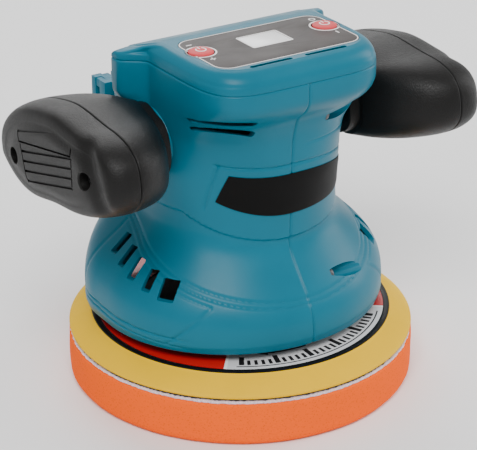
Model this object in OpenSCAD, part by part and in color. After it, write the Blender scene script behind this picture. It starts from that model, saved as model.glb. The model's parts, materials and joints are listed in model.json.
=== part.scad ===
/* [Pad] */
// Diameter of the stiff backing plate's edge ring
plate_d = 130.4; // [110:1:150]
// Diameter of the hook-and-loop backing foam
pad_d = 150; // [125:1:180]
// Thickness of the polishing foam
foam_h = 19.5; // [10:0.5:30]
// Thickness of the yellow backing foam
backing_h = 7.25; // [5:0.25:12]
// Distance between the motor axis and the pad's own axis
orbit_r = 7.5; // [4:0.5:10]

/* [Housing] */
// Radius of the skirt around the pad
base_r = 64.6; // [58:0.5:75]
// Half width of the neck
neck_r = 42.6; // [39:0.5:48]
// Distance from the axis to the front of the neck
neck_front = 46.2; // [42:0.5:52]
// Distance from the axis to the rear of the neck
neck_rear = 38.5; // [37.5:0.5:48]
// Distance from the axis to the rear of the skirt
base_rear = 50; // [48:0.5:60]
// Wall of the housing shells
wall = 2.5; // [1.5:0.25:3.5]
// Open gap between the pad's plate and the housing's rim
rim_gap = 4.3; // [3:0.5:8]
// Height of the skirt and shoulder, from the rim to the neck
shoulder_h = 46.7; // [40:0.5:56]
// Height of the neck, from the shoulder to the head
neck_h = 50; // [44:0.5:60]

/* [Head] */
// Height of the head, from the overhang to the flat top
head_h = 25.3; // [22:0.1:30]
// Half width of the head's front block
head_w = 41.5; // [40:0.5:50]
// Distance from the axis to the front of the head
head_front = 58.7; // [54:0.5:68]
// How far each shoulder wing stands out past the front block
wing_w = 9.5; // [4:0.5:14]
// Depth of the top cover
cover_h = 8.8; // [7:0.2:12]
// Width of the control panel
panel_w = 69; // [60:1:72]
// Length of the control panel from front to rear
panel_l = 38; // [32:1:42]
// Diameter of each control button
button_d = 10.4; // [8:0.2:12]
// Width of the display window
window_w = 18.2; // [14:0.2:24]

/* [Handles] */
// Radius of the round boss that carries each grip
boss_r = 15.5; // [14:0.5:19]
// Length of each grip from front to rear
grip_l = 102; // [84:1:116]
// Height of each grip
grip_h = 42.5; // [38:0.5:52]
// Distance from the middle to the grip's outer face
grip_out = 91.5; // [86:0.5:104]
// Wall of the hollow grip shells
grip_wall = 4; // [3:0.5:6]

/* [Motor] */
// Outside radius of the motor can
can_r = 32; // [28:0.5:35]
// Height of the stator stack
stack_h = 24; // [16:1:28]
// Outside radius of the rotor
rotor_r = 14.5; // [12:0.5:17]
// Outside radius of the cooling fan
fan_r = 41; // [34:1:43]
// Number of fan blades
fan_blades = 12; // [8:1:16]

/* [Battery mount] */
// Width of the battery rail plate
rail_w = 78; // [66:1:80]
// Height of the battery rail plate
rail_h = 52; // [44:1:60]
// How far the rail plate stands behind the housing
rail_t = 12; // [10:0.5:16]

/* [Hidden] */

// Colours
teal = [0.00, 0.47, 0.59];
rubber_black = [0.10, 0.10, 0.11];
steel = [0.72, 0.73, 0.75];
dark_steel = [0.42, 0.43, 0.45];
copper = [0.80, 0.45, 0.22];
board_green = [0.05, 0.33, 0.20];

// Smoothness of true round parts
$fn = 96;
// Gap left where one piece moves past another, and where pieces are laid in place
run_gap = 0.03;
play = 0.3;

// Pad layers, counted up from the working face
loop_h = 1.2;
hook_h = 1.0;
foam_round = 3;
loop_top = foam_h + loop_h;
hook_top = loop_top + hook_h;
backing_top = hook_top + backing_h;
pad_r = pad_d / 2;
plate_r = plate_d / 2;
plate_t = 3;
edge_ring_w = 2.7;
label_in_r = 46;
label_t = 0.3;
label_span = [-38, 51];

// Pad drive, stacked up from the plate
pad_at = [0, -orbit_r, 0];
hub_r = 22;
hub_h = 4;
hub_z = backing_top;
hub_collar_r = 8.4;
pad_bearing = [16, 6, 10];
pad_bearing_z = hub_z + hub_h + 4;
pad_bearing_top = pad_bearing_z + pad_bearing[2];
washer_r = 8.2;
washer_t = 1.2;
bolt_head_r = 5;
bolt_head_h = 3.2;
bolt_r = 3;
weight_z = pad_bearing_z - 0.5;
weight_ceiling = pad_bearing_top + 4.9;
weight_top = weight_ceiling + 3.5;
weight_wall = 4;
weight_lobe_r = 36;
weight_lobe_angle = 74;

// Motor, stacked up from the counterweight
shaft_r = 5;
lower_bearing = [14, 6, 8];
upper_bearing = [11, 4, 7];
fan_z = weight_top + 2;
fan_h = 7;
fan_disc_t = 1.5;
fan_hub_r = 9;
lower_bearing_z = fan_z + fan_h;
lower_bearing_top = lower_bearing_z + lower_bearing[2];
motor_plate_t = 3;
motor_plate_z = lower_bearing_top - 1;
motor_plate_top = motor_plate_z + motor_plate_t;
motor_boss_r = lower_bearing[0] + 3.5;
can_t = 1.6;
stator_r = can_r - can_t;
stator_z = motor_plate_top + 5;
stator_top = stator_z + stack_h;
can_top = stator_top + 5;
air_gap = 0.5;
magnet_t = 2.5;
endcap_t = 3;
upper_bearing_z = can_top + endcap_t;
upper_bearing_top = upper_bearing_z + upper_bearing[2];
endcap_boss_r = upper_bearing[0] + 3;

// Housing heights
rim_z = backing_top + rim_gap;
shoulder_top = rim_z + shoulder_h;
head_z = shoulder_top + neck_h;
top_z = head_z + head_h;
cover_z = top_z - cover_h;
skirt_z = rim_z + 10.7;
shoulder_tilt = 6;
handle_at = [-5, head_z - 16];
wing_y = 5;
wing_start = -3;
wing_back = 5;
crest_y = 12.5;
crest_z = top_z - 6.3;
roof_z = head_z - 6;

// Screws that join the two housing halves, as [y, z, left end, right head seat]
housing_screw_at = [
    [-(head_front - 12.7), head_z - 3.5, -10, 15], [-(base_r - 14.3), rim_z + 22.8, -10, 15],
    [neck_rear - 9, head_z - 12, -10, 15], [base_rear - 8, rim_z + 5, -10, 15]
];
screw_r = 2;
screw_head_r = 3.3;
screw_head_h = 2.6;
screw_post_r = 4.5;

// Grip profile
seam_x = grip_out - 14.5;
grip_in = head_w + 7.5;
grip_at = [handle_at[0] - 3.4, handle_at[1] - 0.7];
grip_droop = 10;
grip_power = 2.65;
grip_screw_u = [-30.5, 31];
core_r = 11;

function lerp(a, b, t) = a + (b - a) * t;
function ease(t) = t <= 0 ? 0 : t >= 1 ? 1 : t * t * (3 - 2 * t);

// Falls from 1 at the skirt to 0 at the neck along a leaning cosine
function bell(z) =
    let (t = (z - skirt_z) / (shoulder_top - skirt_z))
    t <= 0 ? 1 : t >= 1 ? 0 : (1 + cos(180 * pow(t, 1.2))) / 2;
function rim_round(z) = z < rim_z + 4 ? 1 - ease((z - rim_z) / 4) : 0;
function lower_r(z, neck, base = base_r) = neck + (base - neck) * bell(z);

// Body stations: [z, front, half width, rear, front power, rear power, wing, wing start, wing end]
lower_z = [for (s = [0, 0.08, 0.2, 0.3, 0.39, 0.48, 0.57, 0.66, 0.75, 0.86, 1])
    lerp(rim_z, shoulder_top, s)];
function roof_y(z) = lerp(neck_rear, crest_y, (z - roof_z) / (crest_z - roof_z));
body_stations = concat(
    [for (z = lower_z) [
        z, lower_r(z + shoulder_tilt, neck_front) - rim_round(z), lower_r(z, neck_r) - rim_round(z),
        lower_r(z - shoulder_tilt, neck_rear, base_rear) - rim_round(z), 2, 2 + 1.5 * (1 - bell(z)),
        0, 0, wing_y
    ]],
    [
        [shoulder_top + 12, neck_front + 0.1, neck_r - 0.4, neck_rear, 2.05, 3.7, 0, 0, wing_y],
        [shoulder_top + 22, neck_front + 0.4, lerp(neck_r, head_w, 0.6), neck_rear, 2.2, 4, 0, 0, wing_y],
        [shoulder_top + 32, neck_front + 0.8, head_w - 0.5, neck_rear, 2.4, 4.4, 0, 0, wing_y],
        [head_z - 10, neck_front + 1.4, head_w - 0.5, neck_rear, 2.7, 5, wing_w * 0.1, wing_start, wing_y],
        [head_z - 6, neck_front + 2.3, head_w - 0.5, neck_rear, 3.1, 5, wing_w * 0.4, wing_start, wing_y],
        [head_z - 1, lerp(neck_front, head_front, 0.34), head_w - 0.4, roof_y(head_z - 1), 3.7, 5,
            wing_w * 0.8, wing_start, wing_y],
        [head_z + 3, lerp(neck_front, head_front, 0.7), head_w - 0.2, roof_y(head_z + 3), 4.4, 5,
            wing_w, wing_start, wing_y],
        [head_z + 7.5, head_front - 0.6, head_w, roof_y(head_z + 7.5), 5, 5, wing_w, wing_start, wing_y],
        [head_z + 12, head_front, head_w, roof_y(head_z + 12), 5.5, 5, wing_w, wing_start, wing_y],
        [cover_z, head_front, head_w, roof_y(cover_z), 5.5, 5, wing_w, wing_start, wing_y]
    ]
);
cover_stations = [
    [cover_z, head_front, head_w, roof_y(cover_z), 5.5, 5, wing_w, wing_start, wing_y],
    [crest_z, head_front - 0.3, head_w - 0.1, crest_y, 5.5, 5, wing_w - 0.2, wing_start, wing_y],
    [top_z - 5, head_front - 0.6, head_w - 0.3, crest_y - 3, 5.5, 5, wing_w - 2, wing_start, wing_y],
    [top_z - 3.6, head_front - 1.2, head_w - 0.7, crest_y - 7, 5.5, 5, wing_w - 6.5, wing_start - 1, 2],
    [top_z - 2, head_front - 2.6, head_w - 1.8, crest_y - 11.5, 5.5, 5, 1, -5, -2],
    [top_z - 0.8, head_front - 4.6, head_w - 3.2, crest_y - 15, 5.5, 5, 0.2, -10, -6],
    [top_z, head_front - 7.2, head_w - 5, crest_y - 18.5, 5.5, 5, 0, -16, -11]
];

front_steps = 11;
wing_steps = 4;
rear_steps = 8;

// Where a wing's outer wall turns back in, and where it meets the rear wall again
function wing_share(s) = pow(s[6] / wing_w, 2);
function wing_close(s) =
    min(s[8] + 0.4 + (wing_back + 2.5 - (is_undef(s[9]) ? 0 : s[9])) * wing_share(s), s[3] - 0.3);
function wing_turn(s) = wing_close(s) - 0.2 - 2.5 * wing_share(s);

// Right half of a station's outline, from the front middle round to the rear middle
function half_outline(s) = concat(
    [for (i = [0:front_steps])
        let (a = 90 * i / front_steps, k = pow(pow(sin(a), s[4]) + pow(cos(a), s[4]), -1 / s[4]))
        [s[2] * k * sin(a), s[7] - (s[1] + s[7]) * k * cos(a)]],
    [for (i = [1:wing_steps])
        let (t = i / wing_steps)
        [s[2] + s[6] * ease(t), lerp(s[7], s[8], t)]],
    [for (i = [0:wing_steps - 1])
        let (t = i / wing_steps)
        [s[2] + s[6] * (1 - ease(t)), lerp(wing_turn(s), wing_close(s), t)]],
    [for (i = [0:rear_steps])
        let (a = 90 * i / rear_steps, k = pow(pow(sin(a), s[5]) + pow(cos(a), s[5]), -1 / s[5]))
        [s[2] * k * cos(a), wing_close(s) + (s[3] - wing_close(s)) * k * sin(a)]]
);

// Station at any height, between the two that enclose it
function station_at(z) =
    let (
        below = max([for (i = [0:len(body_stations) - 2]) if (body_stations[i][0] <= z) i]),
        a = body_stations[below], b = body_stations[below + 1]
    )
    lerp(a, b, (z - a[0]) / (b[0] - a[0]));
// Point on the front of the body: angle from the middle, height, and distance outside the wall
function front_point(angle, z, out) =
    let (s = station_at(z), k = pow(pow(sin(abs(angle)), s[4]) + pow(cos(angle), s[4]), -1 / s[4]))
    [(s[2] + out) * k * sin(angle), s[7] - (s[1] + s[7] + out) * k * cos(angle), z];

// A station pulled in by the wall on every side
function inset(s, t) = [
    s[0], s[1] - t, s[2] - t, s[3] - t * (s[0] > roof_z - 1 ? 1.5 : 1), s[4], s[5], s[6],
    s[7] + min(t, s[8] - s[7]) * 0.5, s[8], t
];

// Closed ring of points at a station, counter-clockwise seen from above
function ring(s) =
    let (half = half_outline(s), n = len(half))
    concat(
        [for (p = half) [p[0], p[1], s[0]]],
        [for (i = [n - 2:-1:1]) [-half[i][0], half[i][1], s[0]]]
    );

// Solid through a list of equal rings, each counter-clockwise seen from the far end
module loft(rings) {
    n = len(rings[0]);
    m = len(rings);
    polyhedron(
        points = [for (r = rings) each r],
        faces = concat(
            [[for (i = [0:n - 1]) i]],
            [for (j = [0:m - 2], i = [0:n - 1])
                let (a = j * n + i, b = j * n + (i + 1) % n)
                each [[a, a + n, b], [b, a + n, b + n]]],
            [[for (i = [n - 1:-1:0]) (m - 1) * n + i]]
        ),
        convexity = 8
    );
}

module body_loft(t = 0) {
    stations = t == 0 ? body_stations : [for (s = body_stations) inset(s, t)];
    first = stations[0];
    last = stations[len(stations) - 1];
    reach = t == 0 ? 0 : 1;
    loft(concat(
        reach > 0 ? [ring(concat([first[0] - reach], [for (i = [1:9]) first[i]]))] : [],
        [for (s = stations) ring(s)],
        reach > 0 ? [ring(concat([last[0] + reach], [for (i = [1:9]) last[i]]))] : []
    ));
}

// Cylinder along X between two places, at [y, z]
module along_x(x0, x1, at, r, r2 = undef) {
    translate([x0, at[0], at[1]])
        rotate([0, 90, 0])
            cylinder(h = x1 - x0, r1 = r, r2 = is_undef(r2) ? r : r2);
}

module ring_tube(r_out, r_in, z0, h) {
    translate([0, 0, z0])
        difference() {
            cylinder(h = h, r = r_out);
            translate([0, 0, -1])
                cylinder(h = h + 2, r = r_in);
        }
}

// Deep-groove bearing in three parts, on the Z axis: [outer radius, bore radius, width]
function race_mid(b) = (b[0] + b[1]) / 2;
function ball_r(b) = (b[0] - b[1]) * 0.27;
function race_gap(b) = (b[0] - b[1]) * 0.17;
module bearing_outer(b) {
    rotate_extrude()
        difference() {
            translate([race_mid(b) + race_gap(b), 0])
                square([b[0] - race_mid(b) - race_gap(b), b[2]]);
            translate([race_mid(b), b[2] / 2])
                circle(r = ball_r(b) + run_gap);
        }
}
module bearing_inner(b) {
    rotate_extrude()
        difference() {
            translate([b[1], 0])
                square([race_mid(b) - race_gap(b) - b[1], b[2]]);
            translate([race_mid(b), b[2] / 2])
                circle(r = ball_r(b) + run_gap);
        }
}
module bearing_balls(b) {
    count = floor(360 / (2.35 * asin(ball_r(b) / race_mid(b))));
    for (i = [0:count - 1])
        rotate([0, 0, 360 * i / count])
            translate([race_mid(b), 0, b[2] / 2])
                sphere(r = ball_r(b), $fn = 32);
}

// ---------------------------------------------------------------- pad

module foam_pad() {
    color([1.0, 0.43, 0.22])
        translate(pad_at)
            rotate_extrude()
                difference() {
                    union() {
                        translate([0, foam_round])
                            square([pad_r + 0.4, foam_h - foam_round]);
                        square([pad_r + 0.4 - foam_round, foam_round]);
                        translate([pad_r + 0.4 - foam_round, foam_round])
                            circle(r = foam_round);
                    }
                    translate([-pad_r, -1])
                        square([pad_r, foam_h + 2]);
                }
}
module loop_layer() {
    color([0.93, 0.86, 0.91])
        translate(pad_at + [0, 0, foam_h])
            cylinder(h = loop_h, r = pad_r - 0.2);
}
module hook_layer() {
    color([0.13, 0.12, 0.10])
        translate(pad_at + [0, 0, loop_top])
            cylinder(h = hook_h, r = pad_r - 0.6);
}
module backing_foam() {
    color([1.0, 0.86, 0.0])
        translate(pad_at + [0, 0, hook_top])
            rotate_extrude()
                polygon([
                    [0, 0], [pad_r - 0.6, 0], [pad_r, 1.05], [plate_r + 0.1, backing_h],
                    [plate_r, backing_h], [plate_r, backing_h - plate_t], [0, backing_h - plate_t]
                ]);
}
module backing_plate() {
    color([0.12, 0.12, 0.13])
        difference() {
            translate(pad_at + [0, 0, backing_top - plate_t])
                cylinder(h = plate_t, r = plate_r);
            screw_ring()
                translate([0, 0, backing_top - plate_t - 1])
                    cylinder(h = plate_t + 2, r = plate_screw_r);
        }
}
module pad_edge_ring() {
    color([0.05, 0.05, 0.05])
        translate(pad_at)
            ring_tube(plate_r, plate_r - edge_ring_w, backing_top, label_t);
}
module label_sector(from, to) {
    r_out = plate_r - edge_ring_w;
    translate(pad_at + [0, 0, backing_top])
        rotate([0, 0, from])
            rotate_extrude(angle = to - from)
                translate([label_in_r, 0])
                    square([r_out - label_in_r, label_t]);
}
module pad_label_red() {
    color([0.75, 0.05, 0.06])
        label_sector(label_span[1] - 90, 360 + label_span[0] - 90);
}
module pad_label_silver() {
    color([0.72, 0.72, 0.72])
        label_sector(label_span[0] - 90, label_span[1] - 90);
}
plate_screw_r = 2;
plate_screw_pcd_r = 16;
module screw_ring() {
    for (i = [0:3])
        translate(pad_at + plate_screw_pcd_r * [cos(45 + 90 * i), sin(45 + 90 * i), 0])
            children();
}
module pad_hub() {
    color(steel)
        difference() {
            translate(pad_at + [0, 0, hub_z])
                union() {
                    cylinder(h = hub_h, r = hub_r);
                    cylinder(h = pad_bearing_z - hub_z, r = hub_collar_r);
                    cylinder(h = pad_bearing_top - hub_z, r = pad_bearing[1]);
                }
            translate(pad_at + [0, 0, pad_bearing_top - 8])
                cylinder(h = 9, r = bolt_r);
            screw_ring()
                translate([0, 0, hub_z - 1])
                    cylinder(h = hub_h + 2, r = plate_screw_r);
        }
}
module plate_screws() {
    color(dark_steel)
        screw_ring() {
            translate([0, 0, backing_top - plate_t])
                cylinder(h = plate_t + hub_h, r = plate_screw_r);
            translate([0, 0, hub_z + hub_h])
                cylinder(h = 1.6, r = 3.4);
        }
}
module pad_washer() {
    color(dark_steel)
        translate(pad_at)
            ring_tube(washer_r, bolt_r, pad_bearing_top, washer_t);
}
module pad_bolt() {
    color(dark_steel)
        translate(pad_at + [0, 0, pad_bearing_top]) {
            translate([0, 0, -8])
                cylinder(h = 8 + washer_t, r = bolt_r);
            translate([0, 0, washer_t])
                cylinder(h = bolt_head_h, r = bolt_head_r, $fn = 6);
        }
}
module pad_bearing_outer() {
    color(steel)
        translate(pad_at + [0, 0, pad_bearing_z])
            bearing_outer(pad_bearing);
}
module pad_bearing_balls() {
    color([0.85, 0.86, 0.88])
        translate(pad_at + [0, 0, pad_bearing_z])
            bearing_balls(pad_bearing);
}
module pad_bearing_inner() {
    color(steel)
        translate(pad_at + [0, 0, pad_bearing_z])
            bearing_inner(pad_bearing);
}

// ---------------------------------------------------------------- drive

module counterweight() {
    color([0.50, 0.46, 0.38])
        difference() {
            union() {
                translate(pad_at + [0, 0, weight_z])
                    cylinder(h = weight_top - weight_z, r = pad_bearing[0] + weight_wall);
                translate([0, 0, weight_top])
                    cylinder(h = fan_z - weight_top, r = fan_hub_r);
                rotate([0, 0, 90 - weight_lobe_angle])
                    rotate_extrude(angle = 2 * weight_lobe_angle)
                        translate([2, weight_ceiling - 8])
                            square([weight_lobe_r - 2, weight_top - weight_ceiling + 8]);
            }
            translate(pad_at + [0, 0, weight_z - 1])
                cylinder(h = pad_bearing_top - weight_z + 1, r = pad_bearing[0]);
            translate(pad_at + [0, 0, pad_bearing_top - 1])
                cylinder(h = weight_ceiling - pad_bearing_top + 1, r = washer_r + 1.5);
            translate([0, 0, weight_ceiling - 1])
                cylinder(h = fan_z, r = shaft_r);
        }
}
module motor_shaft() {
    color(steel)
        union() {
            translate([0, 0, weight_ceiling])
                cylinder(h = upper_bearing_z - weight_ceiling, r = shaft_r);
            translate([0, 0, lower_bearing_z])
                cylinder(h = lower_bearing[2], r = lower_bearing[1]);
            translate([0, 0, upper_bearing_z - 1])
                cylinder(h = upper_bearing[2] + 1.5, r = upper_bearing[1]);
        }
}
module fan() {
    color([0.16, 0.16, 0.17])
        difference() {
            union() {
                translate([0, 0, fan_z]) {
                    cylinder(h = fan_h, r = fan_hub_r);
                    cylinder(h = fan_disc_t, r = fan_r);
                }
                for (i = [0:fan_blades - 1])
                    rotate([0, 0, 360 * i / fan_blades])
                        translate([motor_boss_r + 3, 0, fan_z + fan_disc_t / 2])
                            rotate([0, 0, 28])
                                cube([fan_r - motor_boss_r - 7, 1.4, fan_h - 1.5]);
            }
            translate([0, 0, fan_z - 1])
                cylinder(h = fan_h + 2, r = shaft_r);
        }
}
module lower_bearing_outer() {
    color(steel)
        translate([0, 0, lower_bearing_z])
            bearing_outer(lower_bearing);
}
module lower_bearing_balls() {
    color([0.85, 0.86, 0.88])
        translate([0, 0, lower_bearing_z])
            bearing_balls(lower_bearing);
}
module lower_bearing_inner() {
    color(steel)
        translate([0, 0, lower_bearing_z])
            bearing_inner(lower_bearing);
}
plate_clear_r = min(neck_r, neck_rear, neck_front) - wall - 0.6;
motor_screw_pcd_r = can_r - 8;
module motor_plate() {
    color([0.62, 0.63, 0.65])
        difference() {
            union() {
                translate([0, 0, motor_plate_z])
                    cylinder(h = motor_plate_t, r = plate_clear_r);
                translate([0, 0, lower_bearing_z])
                    cylinder(h = motor_plate_top - lower_bearing_z, r = motor_boss_r);
            }
            translate([0, 0, lower_bearing_z - 1])
                cylinder(h = lower_bearing[2] + 1, r = lower_bearing[0]);
            translate([0, 0, lower_bearing_top - 1])
                cylinder(h = motor_plate_t + 2, r = lower_bearing[0] - 2.5);
            for (i = [0:3])
                rotate([0, 0, 45 + 90 * i])
                    translate([motor_screw_pcd_r, 0, motor_plate_z - 1])
                        cylinder(h = motor_plate_t + 2, r = screw_r);
        }
}
module motor_plate_screws() {
    color(dark_steel)
        for (i = [0:3])
            rotate([0, 0, 45 + 90 * i])
                translate([motor_screw_pcd_r, 0, 0]) {
                    translate([0, 0, motor_plate_z])
                        cylinder(h = motor_plate_t + 1.5, r = screw_r);
                    translate([0, 0, motor_plate_z - 1.8])
                        cylinder(h = 1.8, r = 3.4);
                }
}
module motor_can() {
    color([0.22, 0.23, 0.25])
        difference() {
            translate([0, 0, motor_plate_top])
                cylinder(h = can_top - motor_plate_top, r = can_r);
            translate([0, 0, motor_plate_top + 1.5])
                cylinder(h = can_top, r = stator_r);
            translate([0, 0, motor_plate_top - 1])
                cylinder(h = 4, r = rotor_r + 2);
            for (i = [0:3])
                rotate([0, 0, 45 + 90 * i])
                    translate([motor_screw_pcd_r, 0, motor_plate_top - 1])
                        cylinder(h = 3, r = screw_r);
        }
}
stator_slots = 9;
module stator_core() {
    color([0.45, 0.46, 0.48])
        difference() {
            translate([0, 0, stator_z])
                cylinder(h = stack_h, r = stator_r);
            translate([0, 0, stator_z - 1])
                cylinder(h = stack_h + 2, r = rotor_r + air_gap);
            for (i = [0:stator_slots - 1])
                rotate([0, 0, 360 * i / stator_slots])
                    translate([(rotor_r + stator_r) / 2, 0, stator_z - 1])
                        cylinder(h = stack_h + 2, r = 4);
        }
}
module stator_windings() {
    color(copper)
        for (i = [0:stator_slots - 1])
            rotate([0, 0, 360 * i / stator_slots])
                translate([(rotor_r + stator_r) / 2, 0, stator_z - 2.5])
                    cylinder(h = stack_h + 5, r = 4 - 0.1);
}
module rotor_core() {
    color([0.50, 0.51, 0.53])
        ring_tube(rotor_r - magnet_t, shaft_r, stator_z, stack_h);
}
module rotor_magnets() {
    color([0.30, 0.30, 0.33])
        ring_tube(rotor_r, rotor_r - magnet_t, stator_z, stack_h);
}
module motor_endcap() {
    color([0.62, 0.63, 0.65])
        difference() {
            union() {
                translate([0, 0, can_top])
                    cylinder(h = endcap_t, r = can_r);
                translate([0, 0, can_top])
                    cylinder(h = upper_bearing_top + 2 - can_top, r = endcap_boss_r);
            }
            translate([0, 0, upper_bearing_z])
                cylinder(h = upper_bearing[2], r = upper_bearing[0]);
            translate([0, 0, can_top - 1])
                cylinder(h = upper_bearing_top + 4 - can_top, r = upper_bearing[0] - 2.5);
            for (i = [0:5])
                rotate([0, 0, 60 * i])
                    translate([can_r - 9, 0, can_top - 1])
                        cylinder(h = endcap_t + 2, r = 4);
        }
}
module upper_bearing_outer() {
    color(steel)
        translate([0, 0, upper_bearing_z])
            bearing_outer(upper_bearing);
}
module upper_bearing_balls() {
    color([0.85, 0.86, 0.88])
        translate([0, 0, upper_bearing_z])
            bearing_balls(upper_bearing);
}
module upper_bearing_inner() {
    color(steel)
        translate([0, 0, upper_bearing_z])
            bearing_inner(upper_bearing);
}

// ---------------------------------------------------------------- housing

// Slanted window through the skirt: angle from the front, width and drop, in the left half
vent_angles = [-96, -86.5, -77, -67.5, -57.5];
vent_tilt = 0.23;
module skirt_vent(angle, wide) {
    r = base_r - 8;
    z_mid = rim_z + 29.8 - vent_tilt * r * cos(angle);
    rotate([0, 0, angle])
        hull() {
            translate([1.8, -r, z_mid + 2.8])
                cube([wide, 26, 0.8], center = true);
            translate([-1.8, -r, z_mid - 3.2])
                cube([wide, 26, 0.8], center = true);
        }
}
// Curved slot in the front of the neck's top, left of the middle
module neck_vent(left, right) {
    hull() {
        translate([left[0], -neck_front + 12, left[1]])
            rotate([90, 0, 0])
                cylinder(h = 16, r = 0.9, center = true, $fn = 16);
        translate([right[0], -neck_front - 2, right[1]])
            rotate([90, 0, 0])
                cylinder(h = 26, r = 0.9, center = true, $fn = 16);
    }
}

pocket_r = screw_head_r + 0.4;
module screw_posts(side) {
    intersection() {
        body_loft(wall * 0.5);
        for (s = housing_screw_at)
            hull() {
                along_x(side > 0 ? 0 : -1, side > 0 ? 1 : 0, [s[0], s[1]], screw_post_r, undef, $fn = 24);
                along_x(side > 0 ? s[3] + 1 : s[0] > 0 ? -base_r : s[2] - 2,
                    side > 0 ? s[3] + 2 : s[0] > 0 ? 1 - base_r : s[2] - 1,
                    [s[0], s[1]], screw_post_r, undef, $fn = 24);
            }
    }
}
module pocket_sleeves() {
    intersection() {
        body_loft();
        for (s = housing_screw_at)
            along_x(s[3] - 2, base_r, [s[0], s[1]], pocket_r + 1.6, undef, $fn = 24);
    }
}

// Inner ledges that clamp the motor plate between them
ledge_t = 2.5;
module motor_ledges() {
    intersection() {
        body_loft(wall * 0.5);
        union() {
            ring_tube(base_r, plate_clear_r - 3, motor_plate_z - ledge_t, ledge_t, $fn = 48);
            ring_tube(base_r, can_r + play, motor_plate_top, ledge_t, $fn = 48);
        }
    }
}

// One half of the clamshell; side is -1 for the left and 1 for the right
module housing_half(side) {
    difference() {
        union() {
            intersection() {
                union() {
                    difference() {
                        body_loft();
                        body_loft(wall);
                    }
                    motor_ledges();
                    along_x(-head_w - 5.5, head_w + 5.5, handle_at, boss_r, $fn = 64);
                }
                translate([side > 0 ? 0 : -100, -100, 0])
                    cube([100, 200, cover_z]);
            }
            intersection() {
                translate([side > 0 ? 0 : -100, -100, 0])
                    cube([100, 200, cover_z]);
                union() {
                    screw_posts(side);
                    if (side > 0)
                        pocket_sleeves();
                }
            }
        }
        // hollow inside the handle bosses and their through bore
        along_x(-head_w - 8, head_w + 8, handle_at, core_r + run_gap * 4, undef, $fn = 64);
        intersection() {
            body_loft(wall);
            along_x(-head_w, head_w, handle_at, boss_r + 1, $fn = 64);
        }
        for (s = housing_screw_at) {
            along_x(-14, 20, [s[0], s[1]], screw_r + (side > 0 ? 0.2 : run_gap), undef, $fn = 48);
            along_x(s[3], 80, [s[0], s[1]], pocket_r, undef, $fn = 24);
        }
        for (i = [0:4])
            mirror([side > 0 ? 1 : 0, 0, 0])
                skirt_vent(vent_angles[i], i == 4 ? 7.5 : 4.4);
        neck_vent([-39, head_z + 2.6], [-23, head_z + 3.7]);
        neck_vent([-37, head_z - 2.6], [-19, head_z - 4.4]);
        // flat seat and screw holes for the battery rail plate
        translate([-rail_w / 2, rail_y, rail_z])
            cube([rail_w, rail_t, rail_h]);
        mount_screw_places()
            cylinder(h = rail_t, r = screw_r + run_gap, $fn = 48);
    }
}
module housing_left() {
    color(teal)
        housing_half(-1);
}
module housing_right() {
    color(teal)
        housing_half(1);
}
module housing_screws() {
    color(dark_steel)
        for (s = housing_screw_at) {
            along_x(s[2], s[3], [s[0], s[1]], screw_r);
            along_x(s[3], s[3] + screw_head_h, [s[0], s[1]], screw_head_r);
        }
}

// Black band round the front of the neck, from the left end round to the right flank
band_low = shoulder_top + 6;
band_high = shoulder_top + 23.8;
band_t = 0.5;
band_ends = [-44, 84];
band_lean = 7;
function band_edge(a, z, left_rise, right_fall) =
    z + (a < 0 ? left_rise : -right_fall) * pow(a / 10, 2);
module label_band() {
    steps = 16;
    color([0.11, 0.11, 0.11])
        loft([for (i = [0:steps])
            let (
                low_a = lerp(band_ends[0], band_ends[1], i / steps),
                high_a = lerp(band_ends[0] + band_lean, band_ends[1], i / steps),
                low = band_edge(low_a, band_low, 0.41, 0),
                high = band_edge(high_a, band_high, 0.16, 0.18)
            )
            [front_point(low_a, low, 0), front_point(high_a, high, 0),
                front_point(high_a, high, band_t), front_point(low_a, low, band_t)]]);
}

// ---------------------------------------------------------------- head

button_x = 29.8;
button_y = -25.2;
panel_y = -29;
panel_t = 0.8;
panel_round = 7;
window_l = 12.8;
window_y = -25.75;
slot_x = [4, 22];
slot_y = -(head_front - 8.4);

module panel_outline(grow = 0) {
    hull()
        for (x = [-1, 1], y = [-1, 1])
            translate([x * (panel_w / 2 - panel_round), panel_y + y * (panel_l / 2 - panel_round)])
                circle(r = panel_round + grow, $fn = 32);
}
module control_holes(grow = 0) {
    for (side = [-1, 1])
        translate([side * button_x, button_y])
            circle(r = button_d / 2 + play + grow);
    translate([-window_w / 2 - grow, window_y - window_l / 2 - grow])
        square([window_w + 2 * grow, window_l + 2 * grow]);
}
// Tapered tabs that locate the cover inside the housing: [x, y, along the front wall]
cover_tab_at = [
    for (x = [-20, -8, 8, 20]) [x, -(head_front - wall - 2), true],
    for (side = [-1, 1], y = [-30, -8]) [side * (head_w - wall - 2), y, false]
];
module cover_tabs() {
    for (p = cover_tab_at)
        translate([p[0], p[1], 0])
            rotate([0, 0, p[2] ? 0 : 90])
                hull() {
                    translate([0, 0, top_z - 4.7])
                        cube([8, 2.8, 1], center = true);
                    translate([0, 0, cover_z - 3])
                        cube([6, 1.6, 1], center = true);
                }
}
module top_cover() {
    color(teal)
        difference() {
            union() {
                difference() {
                    loft([for (s = cover_stations) ring(s)]);
                    loft(concat(
                        [ring(inset(concat([cover_z - 1], [for (i = [1:8]) cover_stations[0][i]]), wall))],
                        [for (i = [0:2]) ring(inset(cover_stations[i], wall))]
                    ));
                }
                cover_tabs();
            }
            translate([0, 0, top_z - panel_t])
                linear_extrude(height = 2)
                    panel_outline();
            translate([0, 0, cover_z - 1])
                linear_extrude(height = cover_h + 2)
                    control_holes(0.5);
            for (side = [-1, 1])
                translate([0, slot_y, cover_z])
                    hull()
                        for (x = slot_x)
                            translate([side * x, 0, 0])
                                cylinder(h = cover_h + 1, r = 0.6, $fn = 16);
        }
}
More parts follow.
